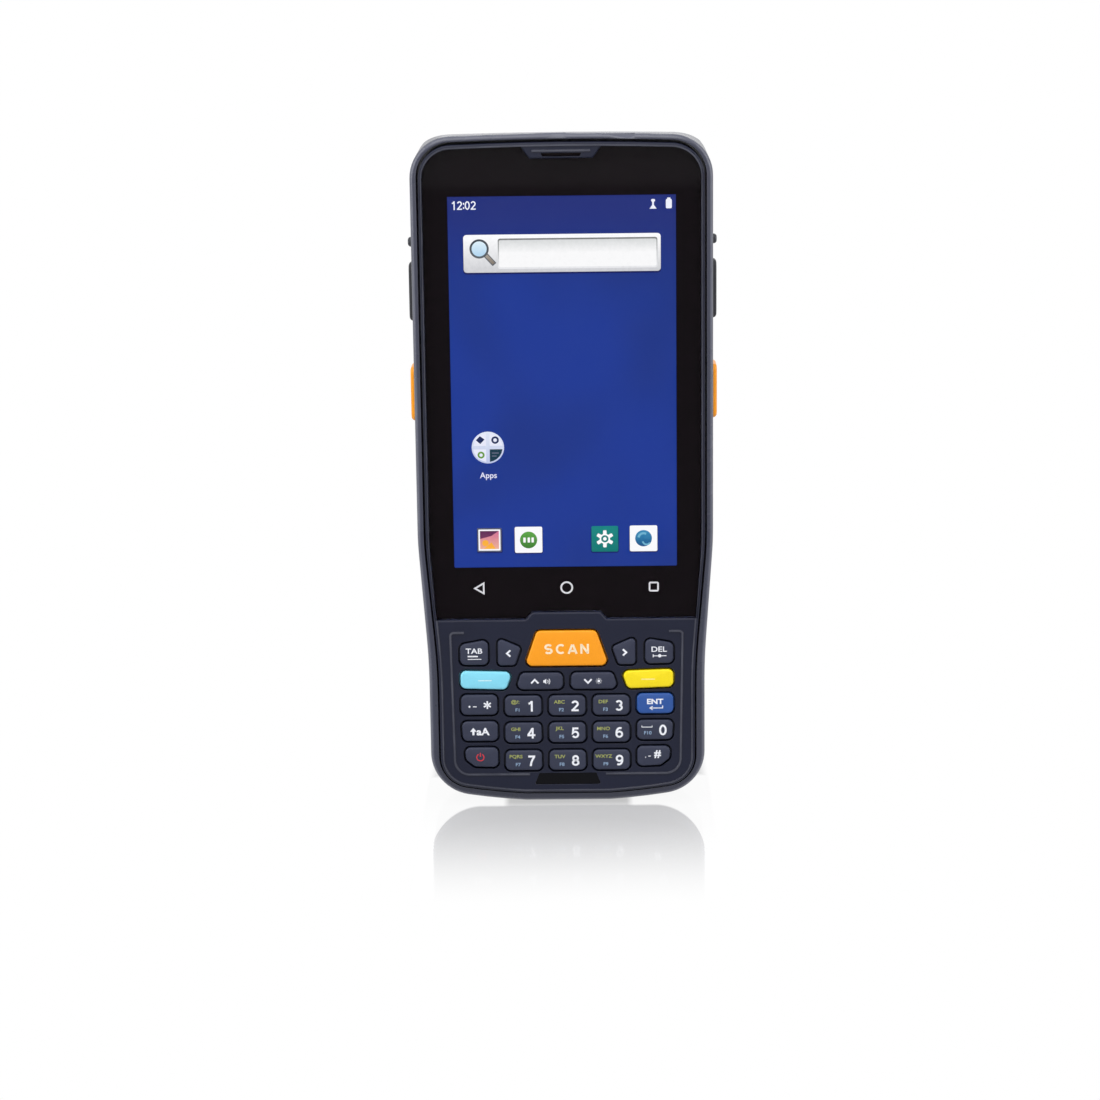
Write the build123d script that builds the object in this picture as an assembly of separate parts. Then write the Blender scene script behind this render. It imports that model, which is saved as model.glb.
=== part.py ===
from build123d import *
import os
from math import sqrt

# Handheld barcode data terminal: a 4-inch touch display above a 24-key pad, a scan engine that looks
# out of the top end, a trigger on each side, and a battery under a hinged cover in the back.
# Frame: millimetres, +Z up along the length, +X to the right seen from the display side. The display
# faces -Y. The origin is the centre of the foot, the small flat land that the terminal stands on.
# Outlines are drawn in (x, z), with heights named _Z or measured from the centre of the display.

# --- driving dimensions -------------------------------------------------------------------------
HEIGHT = 158.4
HALF_UPPER = 34.4  # half width beside the display
HALF_LOWER = 32.4  # half width beside the keypad
WAIST_LOW = 34.3  # height where the sides start to widen
WAIST_HIGH = 62.9  # height where they reach their full width
LAND_HALF = 10.0  # half length of the flat land under the foot
FOOT_ARC = 154.0  # radius of the convex bottom edge
CROWN_ARC = 660.0  # radius of the slightly crowned top edge
TOP_CORNER = 9.5
FOOT_CORNER = 10.5
FOOT_RISE = (4.0, 1.25)  # the underside rises towards the front, over this run and by this much

DISPLAY_Z = 101.1  # height of the display's centre

# depth stations, from the keys at the front to the back of the head
KEY_FACE = -13.0
BEZEL_FACE = -12.6
GLASS_FACE = -12.3
RIM_FACE = -11.6
GLASS_BACK = -11.1
PLATE_BACK = -10.4
MODULE_BACK = -9.2
MEMBRANE_FACE = -8.7
SKIRT_BACK = -7.0
KEYBOARD_FACE = -7.0
CHASSIS_FACE = -6.2
LEDGE_FACE = -6.0
CHASSIS_BACK = -5.2
BOARD_FACE = -4.4
BOARD_BACK = -3.4
BAY_WALL = 1.2
BAY_FLOOR = 2.6
PACK_BACK = 8.0
GRIP_INNER = 8.2
COVER_SEAT = 9.4
GRIP_BACK = 11.2
HEAD_INNER = 11.4
HEAD_BACK = 13.0

SLOPE_START = -8.0  # the top face falls away behind this depth
SLOPE_FALL = 4.6  # by this much at the back
HEAD_LOW = 93.6  # height where the back steps out to the deeper head
HEAD_HIGH = 103.6

KEY_GAP = 0.45  # gap round a key cap
KEY_FLANGE = 0.6  # how far a cap's flange reaches behind the bezel
SIDE_GAP = 0.3  # gap round a trigger or side key
SIDE_TRAVEL = 0.8
SCREW_R = 0.7
SCREWS = ((29.6, 145.6), (29.6, 83.6), (24.0, 8.5))  # housing screws, on both sides
BOSS_R = 1.7
HINGE_Z = 91.5
HINGE_Y = 10.0
BAY = (26.0, 14.0, 88.5)  # half width, low and high z of the battery bay
COVER = (27.5, 11.5)  # half width and low z of the battery cover


# --- helpers ------------------------------------------------------------------------------------
def prism(face, front, back):
    """A face drawn in (x, z), made solid between two depths."""
    plane = Plane(origin=(0, back, 0), x_dir=(1, 0, 0), z_dir=(0, -1, 0))
    return extrude(plane * face, amount=back - front)


def slice_x(points, x0, x1):
    """A polygon drawn in (y, z), made solid between two places along X."""
    plane = Plane(origin=(x0, 0, 0), x_dir=(0, 1, 0), z_dir=(1, 0, 0))
    return extrude(plane * make_face(Polyline(*points, close=True)), amount=x1 - x0)


def block(x0, x1, y0, y1, z0, z1):
    """A plain block between two corners."""
    centre = Pos((x0 + x1) / 2, (y0 + y1) / 2, (z0 + z1) / 2)
    return centre * Box(x1 - x0, y1 - y0, z1 - z0)


def post(x, z, radius, front, back):
    """A round post or hole along Y."""
    return prism(Pos(x, z) * Circle(radius), front, back)


def bar(x0, x1, y, z, radius):
    """A round bar or bore along X."""
    return Pos((x0 + x1) / 2, y, z) * Rot(0, 90, 0) * Cylinder(radius, x1 - x0)


def rounded(points, radius):
    """A polygon in (x, z) with every corner rounded."""
    face = make_face(Polyline(*points, close=True))
    return fillet(face.vertices(), radius)


def both(shape):
    """A shape and its mirror image on the other side of the terminal."""
    return shape + mirror(shape, about=Plane.YZ)


def flipped(points):
    """The same polygon on the other side of the terminal."""
    return [(-x, z) for x, z in points]


def lifted(points):
    """Points measured from the display's centre, as heights above the foot."""
    return [(x, DISPLAY_Z + z) for x, z in points]


def edges_at(shape, depth):
    """The edges of a shape that lie wholly at one depth."""
    return [e for e in shape.edges() if abs(e.bounding_box().min.Y - depth) < 0.01
            and abs(e.bounding_box().max.Y - depth) < 0.01]


def outline(upper, lower, top, foot):
    """The terminal's outline from the front, taken in by its own amount on each stretch."""
    wide = HALF_UPPER - upper
    narrow = HALF_LOWER - lower
    centre = foot + FOOT_ARC - LAND_HALF**2 / (2 * FOOT_ARC)

    def arc_z(x):
        return centre - sqrt(FOOT_ARC**2 - x**2)

    crown = HEIGHT - top
    arm = crown - (CROWN_ARC - sqrt(CROWN_ARC**2 - wide**2))
    land = (LAND_HALF, arc_z(LAND_HALF))
    knee_x = (LAND_HALF + narrow) / 2
    knee = (knee_x, arc_z(knee_x))
    heel = (narrow, arc_z(narrow))
    side = [heel, (narrow, WAIST_LOW), (wide, WAIST_HIGH), (wide, arm)]
    face = make_face(Curve() + [
        Line((-land[0], land[1]), land),
        ThreePointArc(land, knee, heel),
        Polyline(*side),
        ThreePointArc(side[-1], (0, crown), (-wide, arm)),
        Polyline(*flipped(reversed(side))),
        ThreePointArc((-narrow, heel[1]), (-knee_x, knee[1]), (-land[0], land[1])),
    ])
    for (x, z), radius in zip(side, (FOOT_CORNER - foot, 150, 80, TOP_CORNER - upper)):
        corner = [v for v in face.vertices() if abs(abs(v.X) - x) < 0.01 and abs(v.Y - z) < 0.01]
        face = fillet(corner, radius)
    return face


def slope_z(depth, below=0.0):
    """Height of the falling top face at a depth."""
    run = HEAD_BACK - SLOPE_START
    return HEIGHT - below - SLOPE_FALL * (depth - SLOPE_START) / run


# --- keypad layout, measured from the display's centre --------------------------------------------
COLUMN = 10.35  # pitch of the digit columns
DIGIT_W = 8.6
DIGIT_H = 4.9
DIGIT_ROWS = (-76.35, -82.95, -89.75)
KEY_CORNER = 1.3
ARROW_CORNER = 0.85  # the left and right keys have a short edge, so their corners are tighter

TAB_KEY = [(-24.95, -61.4), (-18.4, -60.2), (-18.4, -66.35), (-24.95, -66.3)]
LEFT_KEY = [(-16.1, -60.3), (-14.95, -60.3), (-10.65, -62.2), (-12.15, -66.5), (-16.1, -66.5)]
SCAN_KEY = [(-6.9, -58.2), (6.9, -58.2), (9.85, -66.7), (-9.85, -66.7)]
BLUE_KEY = [(-24.95, -67.75), (-12.8, -68.1), (-14.3, -72.35), (-24.95, -72.0)]
UP_KEY = [(-10.8, -68.35), (-1.0, -68.35), (-0.9, -72.4), (-12.0, -72.4)]
STAR_KEY = [(-24.95, -73.6), (-16.4, -73.6), (-16.4, -78.5), (-24.95, -78.5)]
SHIFT_KEY = [(-24.95, -80.1), (-16.4, -80.1), (-16.4, -84.9), (-24.6, -84.9)]
POWER_KEY = [(-24.3, -86.5), (-16.4, -86.5), (-16.4, -91.4), (-21.9, -91.2), (-24.0, -89.5)]


def digit_points(column, row):
    """The four corners of a digit key."""
    x = column * COLUMN
    z = DIGIT_ROWS[row]
    w = DIGIT_W / 2
    h = DIGIT_H / 2
    return [(x - w, z + h), (x + w, z + h), (x + w, z - h), (x - w, z - h)]


def key_outlines():
    """Every key's name and its outline in (x, z)."""
    points = {
        "key_tab": TAB_KEY, "key_del": flipped(TAB_KEY),
        "key_left": LEFT_KEY, "key_right": flipped(LEFT_KEY),
        "key_scan": SCAN_KEY,
        "key_cyan": BLUE_KEY, "key_yellow": flipped(BLUE_KEY),
        "key_up": UP_KEY, "key_down": flipped(UP_KEY),
        "key_star": STAR_KEY, "key_enter": flipped(STAR_KEY),
        "key_shift": SHIFT_KEY, "key_0": flipped(SHIFT_KEY),
        "key_power": POWER_KEY, "key_hash": flipped(POWER_KEY),
    }
    for digit in range(1, 10):
        points[f"key_{digit}"] = digit_points((digit - 1) % 3 - 1, (digit - 1) // 3)
    faces = {}
    for name, corners in points.items():
        radius = ARROW_CORNER if name in ("key_left", "key_right") else KEY_CORNER
        faces[name] = rounded(lifted(corners), radius)
    return faces


KEYS = key_outlines()
STEM_R = 1.2


# --- keypad ---------------------------------------------------------------------------------------
def key_cap(face):
    """A moulded cap with a soft front edge, a retaining flange behind the bezel and a stem."""
    cap = prism(face, KEY_FACE, -9.8)
    cap = fillet(edges_at(cap, KEY_FACE), 0.4)
    flange = prism(offset(face, KEY_FLANGE), -10.2, -9.6)
    middle = face.center()
    return cap + flange + post(middle.X, middle.Y, STEM_R, -9.7, -8.1)


PAD_LOW = 8.2
PAD_HIGH = 43.7
PAD_HALF = 26.2


def pad_face():
    """The outline of the keypad's board and membrane, notched round the two lowest bosses."""
    face = Pos(0, (PAD_LOW + PAD_HIGH) / 2) * RectangleRounded(2 * PAD_HALF, PAD_HIGH - PAD_LOW, 3)
    x, z = SCREWS[2]
    for side in (-x, x):
        face -= Pos(side, z) * Circle(BOSS_R + 0.3)
    return face


def keypad_membrane():
    """A silicone sheet with a clear hole round each stem and a foot that stands on the board."""
    sheet = pad_face()
    mat = prism(sheet, MEMBRANE_FACE, KEYBOARD_FACE)
    mat -= prism(offset(sheet, -1.0), MEMBRANE_FACE + 0.6, KEYBOARD_FACE)
    for face in KEYS.values():
        middle = face.center()
        mat -= post(middle.X, middle.Y, STEM_R + 0.3, MEMBRANE_FACE - 1, KEYBOARD_FACE)
    return mat


def keypad_board():
    """The circuit board under the keys."""
    return prism(pad_face(), KEYBOARD_FACE, CHASSIS_FACE)


def metal_domes():
    """One snap dome on the board under each stem."""
    domes = []
    for face in KEYS.values():
        middle = face.center()
        dome = Cone(1.9, 1.1, 0.35, align=(Align.CENTER, Align.CENTER, Align.MIN))
        domes.append(Pos(middle.X, KEYBOARD_FACE, middle.Y) * Rot(90, 0, 0) * dome)
    return Compound(children=domes)


# --- front housing, glass and display -------------------------------------------------------------
GLASS_LOW = -55.45
GLASS_TAB = [(-9.6, -55.6), (-8.0, -53.75), (8.0, -53.75), (9.6, -55.6)]
EAR_TAB = [(-9.3, 56.5), (-9.3, 54.6), (-7.2, 51.7), (7.2, 51.7), (9.3, 54.6), (9.3, 56.5)]
EAR_SLOT = [(-4.7, 53.0), (4.7, 53.0), (4.2, 52.2), (-4.2, 52.2)]
BADGE = [(-6.7, -93.0), (6.7, -93.0), (7.75, -95.7), (-7.75, -95.7)]
DECK = [(-27.4, -58.3), (27.4, -58.3), (26.8, -93.4), (-26.8, -93.4)]
EAR_RIDGE = (13.2, 53.5)  # length and height of the moulded line above the ear slot
DECK_HEAD_CORNER = 1.0
DECK_FOOT_CORNER = 3.8
RIDGE = (0.45, 0.2)  # width and height of a moulded line
EDGE_LINE = (0.5, 0.85)  # the outer moulded line lies between these distances from the edge
LIP = 0.3  # chamfer along the edge of the glass pocket


def glass_face():
    """The glass's outline: round the upper housing, with a notch for each tab of the bezel."""
    low = DISPLAY_Z + GLASS_LOW
    face = outline(2.8, 2.95, 2.85, 3.0) & Pos(0, low + 60) * Rectangle(80, 120)
    for tab in (GLASS_TAB, EAR_TAB):
        face -= make_face(Polyline(*lifted(tab), close=True))
    return face


def touch_glass():
    """The cover glass, bonded into its pocket."""
    pane = prism(glass_face(), GLASS_FACE, GLASS_BACK)
    return fillet(edges_at(pane, GLASS_FACE), 0.15)


MODULE_HALF = 27.5
MODULE_LOW = DISPLAY_Z - 47.5
MODULE_HIGH = DISPLAY_Z + 45.6


def display_module():
    """The display panel behind the glass, with its driver ledge below the picture."""
    return block(-MODULE_HALF, MODULE_HALF, GLASS_BACK, MODULE_BACK, MODULE_LOW, MODULE_HIGH)


def bezel_outline():
    """The front housing's outline, also that of the seal behind it."""
    return outline(2.0, 2.4, 1.9, 3.25)


def ridges():
    """Fine raised lines: above the ear slot, round the keypad with short turns, and along the outer edge."""
    deck = make_face(Polyline(*lifted(DECK), close=True))
    deck = fillet(deck.vertices().sort_by(Axis.Y)[2:], DECK_HEAD_CORNER)
    deck = fillet(deck.vertices().sort_by(Axis.Y)[:2], DECK_FOOT_CORNER)
    width, height = RIDGE
    line = deck - offset(deck, -width)
    line -= Pos(0, DISPLAY_Z - 58) * Rectangle(48, 6)
    line -= Pos(0, DISPLAY_Z - 94) * Rectangle(18, 4)
    length, place = EAR_RIDGE
    line += Pos(0, DISPLAY_Z + place) * Rectangle(length, width)
    near, far = EDGE_LINE
    line += offset(bezel_outline(), -near) - offset(bezel_outline(), -far) - offset(glass_face(), 0.08)
    return prism(line, BEZEL_FACE - height, BEZEL_FACE + 0.3)


def front_housing():
    """The bezel: pocket for the glass, an aperture for each key, bosses and a skirt behind."""
    rim = bezel_outline()
    shell = prism(rim, BEZEL_FACE, SKIRT_BACK)
    shell = fillet(edges_at(shell, BEZEL_FACE), 0.5)
    shell -= prism(offset(rim, -1.2), PLATE_BACK, SKIRT_BACK)
    pocket = prism(offset(glass_face(), 0.08), BEZEL_FACE - 1, GLASS_BACK)
    shell -= pocket
    lip = [e for e in edges_at(shell, BEZEL_FACE) if pocket.distance_to(Vertex(e @ 0.5)) < 0.01]
    shell = chamfer(lip, LIP)
    shell -= block(-MODULE_HALF - 0.3, MODULE_HALF + 0.3, GLASS_BACK - 1, 0, MODULE_LOW - 0.3,
                   MODULE_HIGH + 0.3)
    for face in KEYS.values():
        shell -= prism(offset(face, KEY_GAP), BEZEL_FACE - 1, PLATE_BACK + 1)
    shell -= prism(rounded(lifted(EAR_SLOT), 0.2), BEZEL_FACE - 1, PLATE_BACK + 1)
    shell -= prism(offset(rounded(lifted(BADGE), 0.3), 0.05), BEZEL_FACE, BEZEL_FACE + 0.6)
    shell += ridges()
    for x, z in SCREWS:
        shell += both(post(x, z, BOSS_R, PLATE_BACK, CHASSIS_BACK))
    for x, z in SCREWS:
        shell -= both(post(x, z, SCREW_R, SKIRT_BACK - 1.5, CHASSIS_BACK))
    return shell


def keypad_badge():
    """A bare black inlay under the keys."""
    return prism(rounded(lifted(BADGE), 0.3), BEZEL_FACE + 0.1, BEZEL_FACE + 0.6)


def earpiece_mesh():
    """A fine mesh across the back of the earpiece slot."""
    return block(-6, 6, PLATE_BACK, PLATE_BACK + 0.3, DISPLAY_Z + 51, DISPLAY_Z + 54)


def earpiece():
    """The receiver behind its mesh."""
    return block(-5.5, 5.5, PLATE_BACK + 0.3, -7.5, DISPLAY_Z + 50, DISPLAY_Z + 54.0)


# --- rear housing ---------------------------------------------------------------------------------
TRIGGER = (91.3, 104.2, 0.0, 4.0)  # low z, high z, depth of its middle, half width
SIDE_KEY = (114.6, 128.3, -0.4, 2.4)
WINDOW = (13.0, 0.0, 9.0)  # half width, front and back of the scan window
PORT_Y = -1.8  # middle of the USB socket
SPEAKER = (0.0, 114.0, 7.5)  # x, z, radius
LATCH = (4.2, 10.2)  # half width of the latch pocket and its low z
CONTACT_X = (-6.0, -3.0, 0.0, 3.0, 6.0)
CONTACT_Z = 6.4
MIC_X = 9.0
STUD_Z = 132.9
STUD_Y = -0.4
STUD_PROUD = 1.25
STUD_R = 1.15
TRIGGER_PROUD = 1.2
SIDE_KEY_PROUD = 1.15


def side_window(size, gap):
    """The outline, in (y, z), of a trigger or side key grown by a gap."""
    low, high, middle, half = size
    face = RectangleRounded(2 * (half + gap), high - low + 2 * gap, 1.8)
    return Pos(middle, (low + high) / 2) * face


def side_prism(face, x0, x1):
    """A face drawn in (y, z), made solid between two places along X."""
    plane = Plane(origin=(x0, 0, 0), x_dir=(0, 1, 0), z_dir=(1, 0, 0))
    return extrude(plane * face, amount=x1 - x0)


def housing_body():
    """The outside of the rear housing: slim grip, deeper head, falling top face, rounded edges.

    In front, the same outline is drawn forwards and up, which lifts the foot's front edge off the land.
    """
    run, rise = FOOT_RISE
    profile = [(RIM_FACE, 0), (GRIP_BACK, 0), (GRIP_BACK, HEAD_LOW), (HEAD_BACK, HEAD_HIGH),
               (HEAD_BACK, slope_z(HEAD_BACK)), (SLOPE_START, HEIGHT), (RIM_FACE, HEIGHT)]
    face = outline(0, 0, 0, 0)
    plane = Plane(origin=(0, RIM_FACE + run, 0), x_dir=(1, 0, 0), z_dir=(0, -1, 0))
    lean = Vector(0, -run, rise)
    front = prism(face, RIM_FACE, RIM_FACE + run) & extrude(plane * face, amount=lean.length, dir=lean)
    body = (front + prism(face, RIM_FACE + run, HEAD_BACK)) & slice_x(profile, -40, 40)
    body = fillet([e for e in body.edges() if e.center().Y > GRIP_BACK - 0.7], 3.5)
    return fillet(edges_at(body, RIM_FACE), 1.4)


def housing_hollow():
    """The space inside the rear housing, up to the seal's ledge and behind it."""
    front = prism(outline(1.5, 2.0, 1.2, 2.85), RIM_FACE - 1, LEDGE_FACE)
    ledge = prism(outline(3.25, 4.05, 3.3, 4.2), LEDGE_FACE - 1, LEDGE_FACE + 1)
    inside = [(LEDGE_FACE + 1, 1.9), (GRIP_INNER, 1.9), (GRIP_INNER, HEAD_LOW + 3),
              (HEAD_INNER, HEAD_HIGH + 2), (HEAD_INNER, slope_z(HEAD_INNER, 2.2)),
              (LEDGE_FACE + 1, slope_z(LEDGE_FACE + 1, 2.2))]
    rear = prism(outline(1.9, 1.9, 1.9, 1.9), LEDGE_FACE + 1, HEAD_BACK) & slice_x(inside, -40, 40)
    return front + ledge + rear


def rear_housing():
    """The tub: walls, battery bay, screw pillars, hinge sockets and every outside opening."""
    half, low, high = BAY
    shell = housing_body() - housing_hollow()
    shell += block(-half - 1.4, half + 1.4, BAY_WALL, COVER_SEAT, low - 4.6, high + 6)
    for x, z in SCREWS:
        shell += both(post(x, z, BOSS_R + 0.2, CHASSIS_BACK + 0.1, GRIP_INNER + 1))
    shell += both(post(SCREWS[0][0], SCREWS[0][1], BOSS_R + 0.2, GRIP_INNER, HEAD_INNER + 0.5))
    shell &= housing_body()

    shell -= block(-half, half, BAY_FLOOR, HEAD_BACK, low, high)
    cover_half, cover_low = COVER
    shell -= block(-cover_half - 0.3, cover_half + 0.3, COVER_SEAT, HEAD_BACK, cover_low - 0.3, HINGE_Z)
    shell -= bar(-cover_half - 0.3, cover_half + 0.3, HINGE_Y, HINGE_Z, 1.5)
    shell -= both(bar(cover_half, cover_half + 1.9, HINGE_Y, HINGE_Z, 0.66))
    latch_half, latch_low = LATCH
    shell -= block(-latch_half, latch_half, PACK_BACK, COVER_SEAT + 0.2, latch_low, low + 1)

    for x, z in SCREWS:
        back = HEAD_BACK if z > HEAD_HIGH else GRIP_BACK
        shell -= both(post(x, z, SCREW_R + 0.2, CHASSIS_BACK, back))
        shell -= both(post(x, z, 1.6, back - 1.6, back + 1))
    for size in (TRIGGER, SIDE_KEY):
        shell -= both(side_prism(side_window(size, SIDE_GAP), 30, 40))
    shell -= scan_opening()
    shell -= extrude(Pos(0, PORT_Y, -1) * RectangleRounded(9.2, 3.4, 1.6), amount=4)
    shell -= Pos(MIC_X, BOARD_BACK + 0.6, 1) * Cylinder(0.5, 4)
    x, z, radius = SPEAKER
    for row in range(-2, 3):
        width = 2 * sqrt((radius - 1) ** 2 - (row * 2.4) ** 2)
        slot = Pos(x, z + row * 2.4) * SlotOverall(width, 1.0)
        shell -= prism(slot, HEAD_INNER - 1, HEAD_BACK + 1)
    for x in CONTACT_X:
        shell -= post(x, CONTACT_Z, 0.9, GRIP_INNER - 0.2, GRIP_BACK + 1)
    shell -= both(bar(HALF_UPPER - 2, HALF_UPPER + 1, STUD_Y, STUD_Z, 0.7))
    return shell


def scan_opening():
    """The opening in the top face: a pocket for the window over a narrower throat."""
    half, front, back = WINDOW
    pocket = slice_x([(front, slope_z(front, 1.6)), (back, slope_z(back, 1.6)),
                      (back, HEIGHT + 1), (front, HEIGHT + 1)], -half, half)
    throat = block(-half + 1, half - 1, front + 1, back - 1, HEIGHT - 8, HEIGHT + 1)
    return pocket + throat


def scan_window():
    """The dark window over the scan engine, parallel to the top face."""
    half, front, back = WINDOW
    pane = [(front, slope_z(front, 1.6)), (back, slope_z(back, 1.6)),
            (back, slope_z(back, 0.5)), (front, slope_z(front, 0.5))]
    return slice_x(pane, -half, half)


def housing_seal():
    """A soft ring squeezed between the skirt of the bezel and the ledge in the tub."""
    ring = bezel_outline()
    return prism(ring - offset(ring, -1.2), SKIRT_BACK, LEDGE_FACE)


# --- chassis and electronics -----------------------------------------------------------------------
BOARD = (26.0, 46.0, 150.0)  # half width, low and high z
BOARD_HOLES = ((23.0, 51.0), (23.0, 146.0), (14.0, 11.0))  # the last pair is the port board's


def mid_chassis():
    """A magnesium plate with a frame that carries the display and posts that carry the board."""
    plate = prism(outline(3.65, 4.4, 3.7, 4.6), CHASSIS_FACE, CHASSIS_BACK)
    lip = block(-MODULE_HALF, MODULE_HALF, MODULE_BACK, CHASSIS_FACE, MODULE_LOW, MODULE_HIGH)
    lip -= block(-MODULE_HALF + 1.5, MODULE_HALF - 1.5, MODULE_BACK, CHASSIS_FACE, MODULE_LOW + 1.5,
                 MODULE_HIGH - 1.5)
    plate += lip
    for x, z in BOARD_HOLES:
        plate += both(post(x, z, 1.6, CHASSIS_BACK - 0.2, BOARD_FACE))
    for x, z in BOARD_HOLES:
        plate -= both(post(x, z, 0.6, CHASSIS_FACE, BOARD_FACE))
    for x, z in SCREWS:
        plate -= both(post(x, z, BOSS_R + 0.3, CHASSIS_FACE - 1, BOARD_FACE))
    plate -= block(-6, 6, CHASSIS_FACE - 1, BOARD_FACE, 46, 52)
    return plate


def main_board():
    """The logic board, screwed to the chassis."""
    half, low, high = BOARD
    board = block(-half, half, BOARD_FACE, BOARD_BACK, low, high)
    for x, z in BOARD_HOLES:
        board -= both(post(x, z, 0.8, BOARD_FACE - 1, BOARD_BACK + 1))
    return board


def port_board():
    """A narrow board in the foot that carries the USB socket and the microphone."""
    board = block(-20, 20, BOARD_FACE, BOARD_BACK, 5.2, 16)
    x, z = BOARD_HOLES[2]
    return board - both(post(x, z, 0.8, BOARD_FACE - 1, BOARD_BACK + 1))


def shield_cans():
    """Pressed cans over the processor and the radio."""
    cans = [block(-18, 4, BOARD_BACK, BOARD_BACK + 1.8, 58, 84),
            block(8, 22, BOARD_BACK, BOARD_BACK + 1.8, 58, 76),
            block(-20, -4, BOARD_BACK, BOARD_BACK + 1.8, 90, 106)]
    return Compound(children=cans)


def scan_engine():
    """The imager block under the window, on the upper end of the board."""
    body = block(-10.5, 10.5, BOARD_BACK, 9.6, 136, 149)
    lens = Pos(-3.4, 4.5, 150) * Cylinder(3.0, 2.2)
    light = block(3, 9, 2, 7.5, 149, 150.2)
    return body + lens + light


def usb_socket():
    """A USB-C shell at the foot, open downwards."""
    face = RectangleRounded(9.0, 3.2, 1.55)
    bore = RectangleRounded(8.3, 2.5, 1.2)
    shell = extrude(Pos(0, PORT_Y, 0.6) * face, amount=7.4)
    shell -= extrude(Pos(0, PORT_Y, 0.6) * bore, amount=6.2)
    return shell + block(-3.3, 3.3, PORT_Y - 0.35, PORT_Y + 0.35, 1.6, 7)


def microphone():
    """The microphone can on the port board."""
    return block(MIC_X - 1.8, MIC_X + 1.8, BOARD_BACK, BOARD_BACK + 1.2, 6, 9)


def vibration_motor():
    """A small motor can that lies on the main board."""
    return bar(6, 18, BOARD_BACK + 2.2, 94, 2.2)


def speaker():
    """The loudspeaker behind its grille."""
    x, z, radius = SPEAKER
    return post(x, z, radius, HEAD_INNER - 3.0, HEAD_INNER)


def card_holder():
    """A closed card holder on the main board."""
    return block(8, 22, BOARD_BACK, BOARD_BACK + 1.6, 100, 114)


def side_switches():
    """Four tact switches, one behind each trigger and side key, with their rigid flex boards."""
    switches = []
    for low, high, middle, _ in (TRIGGER, SIDE_KEY):
        centre = (low + high) / 2
        switch = block(28.6, 30.1, middle - 1.8, middle + 1.8, centre - 1.8, centre + 1.8)
        strip = block(28.0, 28.6, CHASSIS_BACK, middle + 3, centre - 5, centre + 5)
        switches.append(switch + strip)
    return Compound(children=switches + [mirror(s, about=Plane.YZ) for s in switches])


def side_cap(size, proud):
    """A trigger or side key: a rounded cap through the wall, a flange inside it, and a plunger."""
    low, high, middle, half = size
    cap = side_prism(side_window(size, 0), HALF_UPPER - 2.6, HALF_UPPER + proud)
    outer = [e for e in cap.edges() if e.bounding_box().min.X > HALF_UPPER + proud - 0.01]
    cap = fillet(outer, proud * 0.75)
    flange = side_prism(side_window(size, 0.6), HALF_UPPER - 2.95, HALF_UPPER - 2.15)
    centre = (low + high) / 2
    tip = 30.1 + SIDE_TRAVEL + 0.05
    plunger = block(tip, HALF_UPPER - 2.9, middle - 1.2, middle + 1.2, centre - 1.2, centre + 1.2)
    return cap + flange + plunger


def strap_studs():
    """Two small round-headed studs pressed into the side walls."""
    head = bar(HALF_UPPER, HALF_UPPER + STUD_PROUD, STUD_Y, STUD_Z, STUD_R)
    head = fillet([e for e in head.edges() if e.bounding_box().min.X > HALF_UPPER + STUD_PROUD / 2], 0.7)
    stud = head + bar(HALF_UPPER - 2, HALF_UPPER, STUD_Y, STUD_Z, 0.7)
    return Compound(children=[stud, mirror(stud, about=Plane.YZ)])


# --- battery, cover and latch ----------------------------------------------------------------------
def battery_pack():
    """The battery, with a notch at its head over the contacts."""
    half, low, high = BAY
    pack = block(-half + 0.6, half - 0.6, BAY_FLOOR + 0.2, PACK_BACK - 0.1, low + 0.6, high - 0.6)
    pack = fillet(pack.edges().filter_by(Axis.Y), 1.5)
    return pack - block(-7, 7, BAY_FLOOR, 5.4, high - 3.2, high)


def battery_contacts():
    """The contact block at the head of the bay, with its blades."""
    high = BAY[2]
    base = block(-6, 6, BAY_FLOOR, 4.8, high - 1.6, high)
    for x in (-4.2, -1.4, 1.4, 4.2):
        base += block(x - 0.4, x + 0.4, BAY_FLOOR, 4.4, high - 2.8, high - 1.6)
    return base


def dock_contacts():
    """Five flat pins in the back, flush with the foot of the grip."""
    pins = [post(x, CONTACT_Z, 0.9, GRIP_INNER - 0.2, GRIP_BACK - 0.1) for x in CONTACT_X]
    return Compound(children=pins)


LABEL = (28.0, 20.0, 62.0)  # width, height and middle z of the bare label recess
GROOVE = (19.5, 7.0, 0.9)  # middle x, length and width of a grip groove
GROOVE_ROWS = [30.0 + 4.5 * row for row in range(12)]


def grip_grooves():
    """Two ladders of short finger grooves, one along each side of the battery cover."""
    x, length, width = GROOVE
    ladder = [prism(Pos(x, z) * SlotOverall(length, width), GRIP_BACK - 0.4, GRIP_BACK + 1)
              for z in GROOVE_ROWS]
    return ladder + [mirror(groove, about=Plane.YZ) for groove in ladder]


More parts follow.
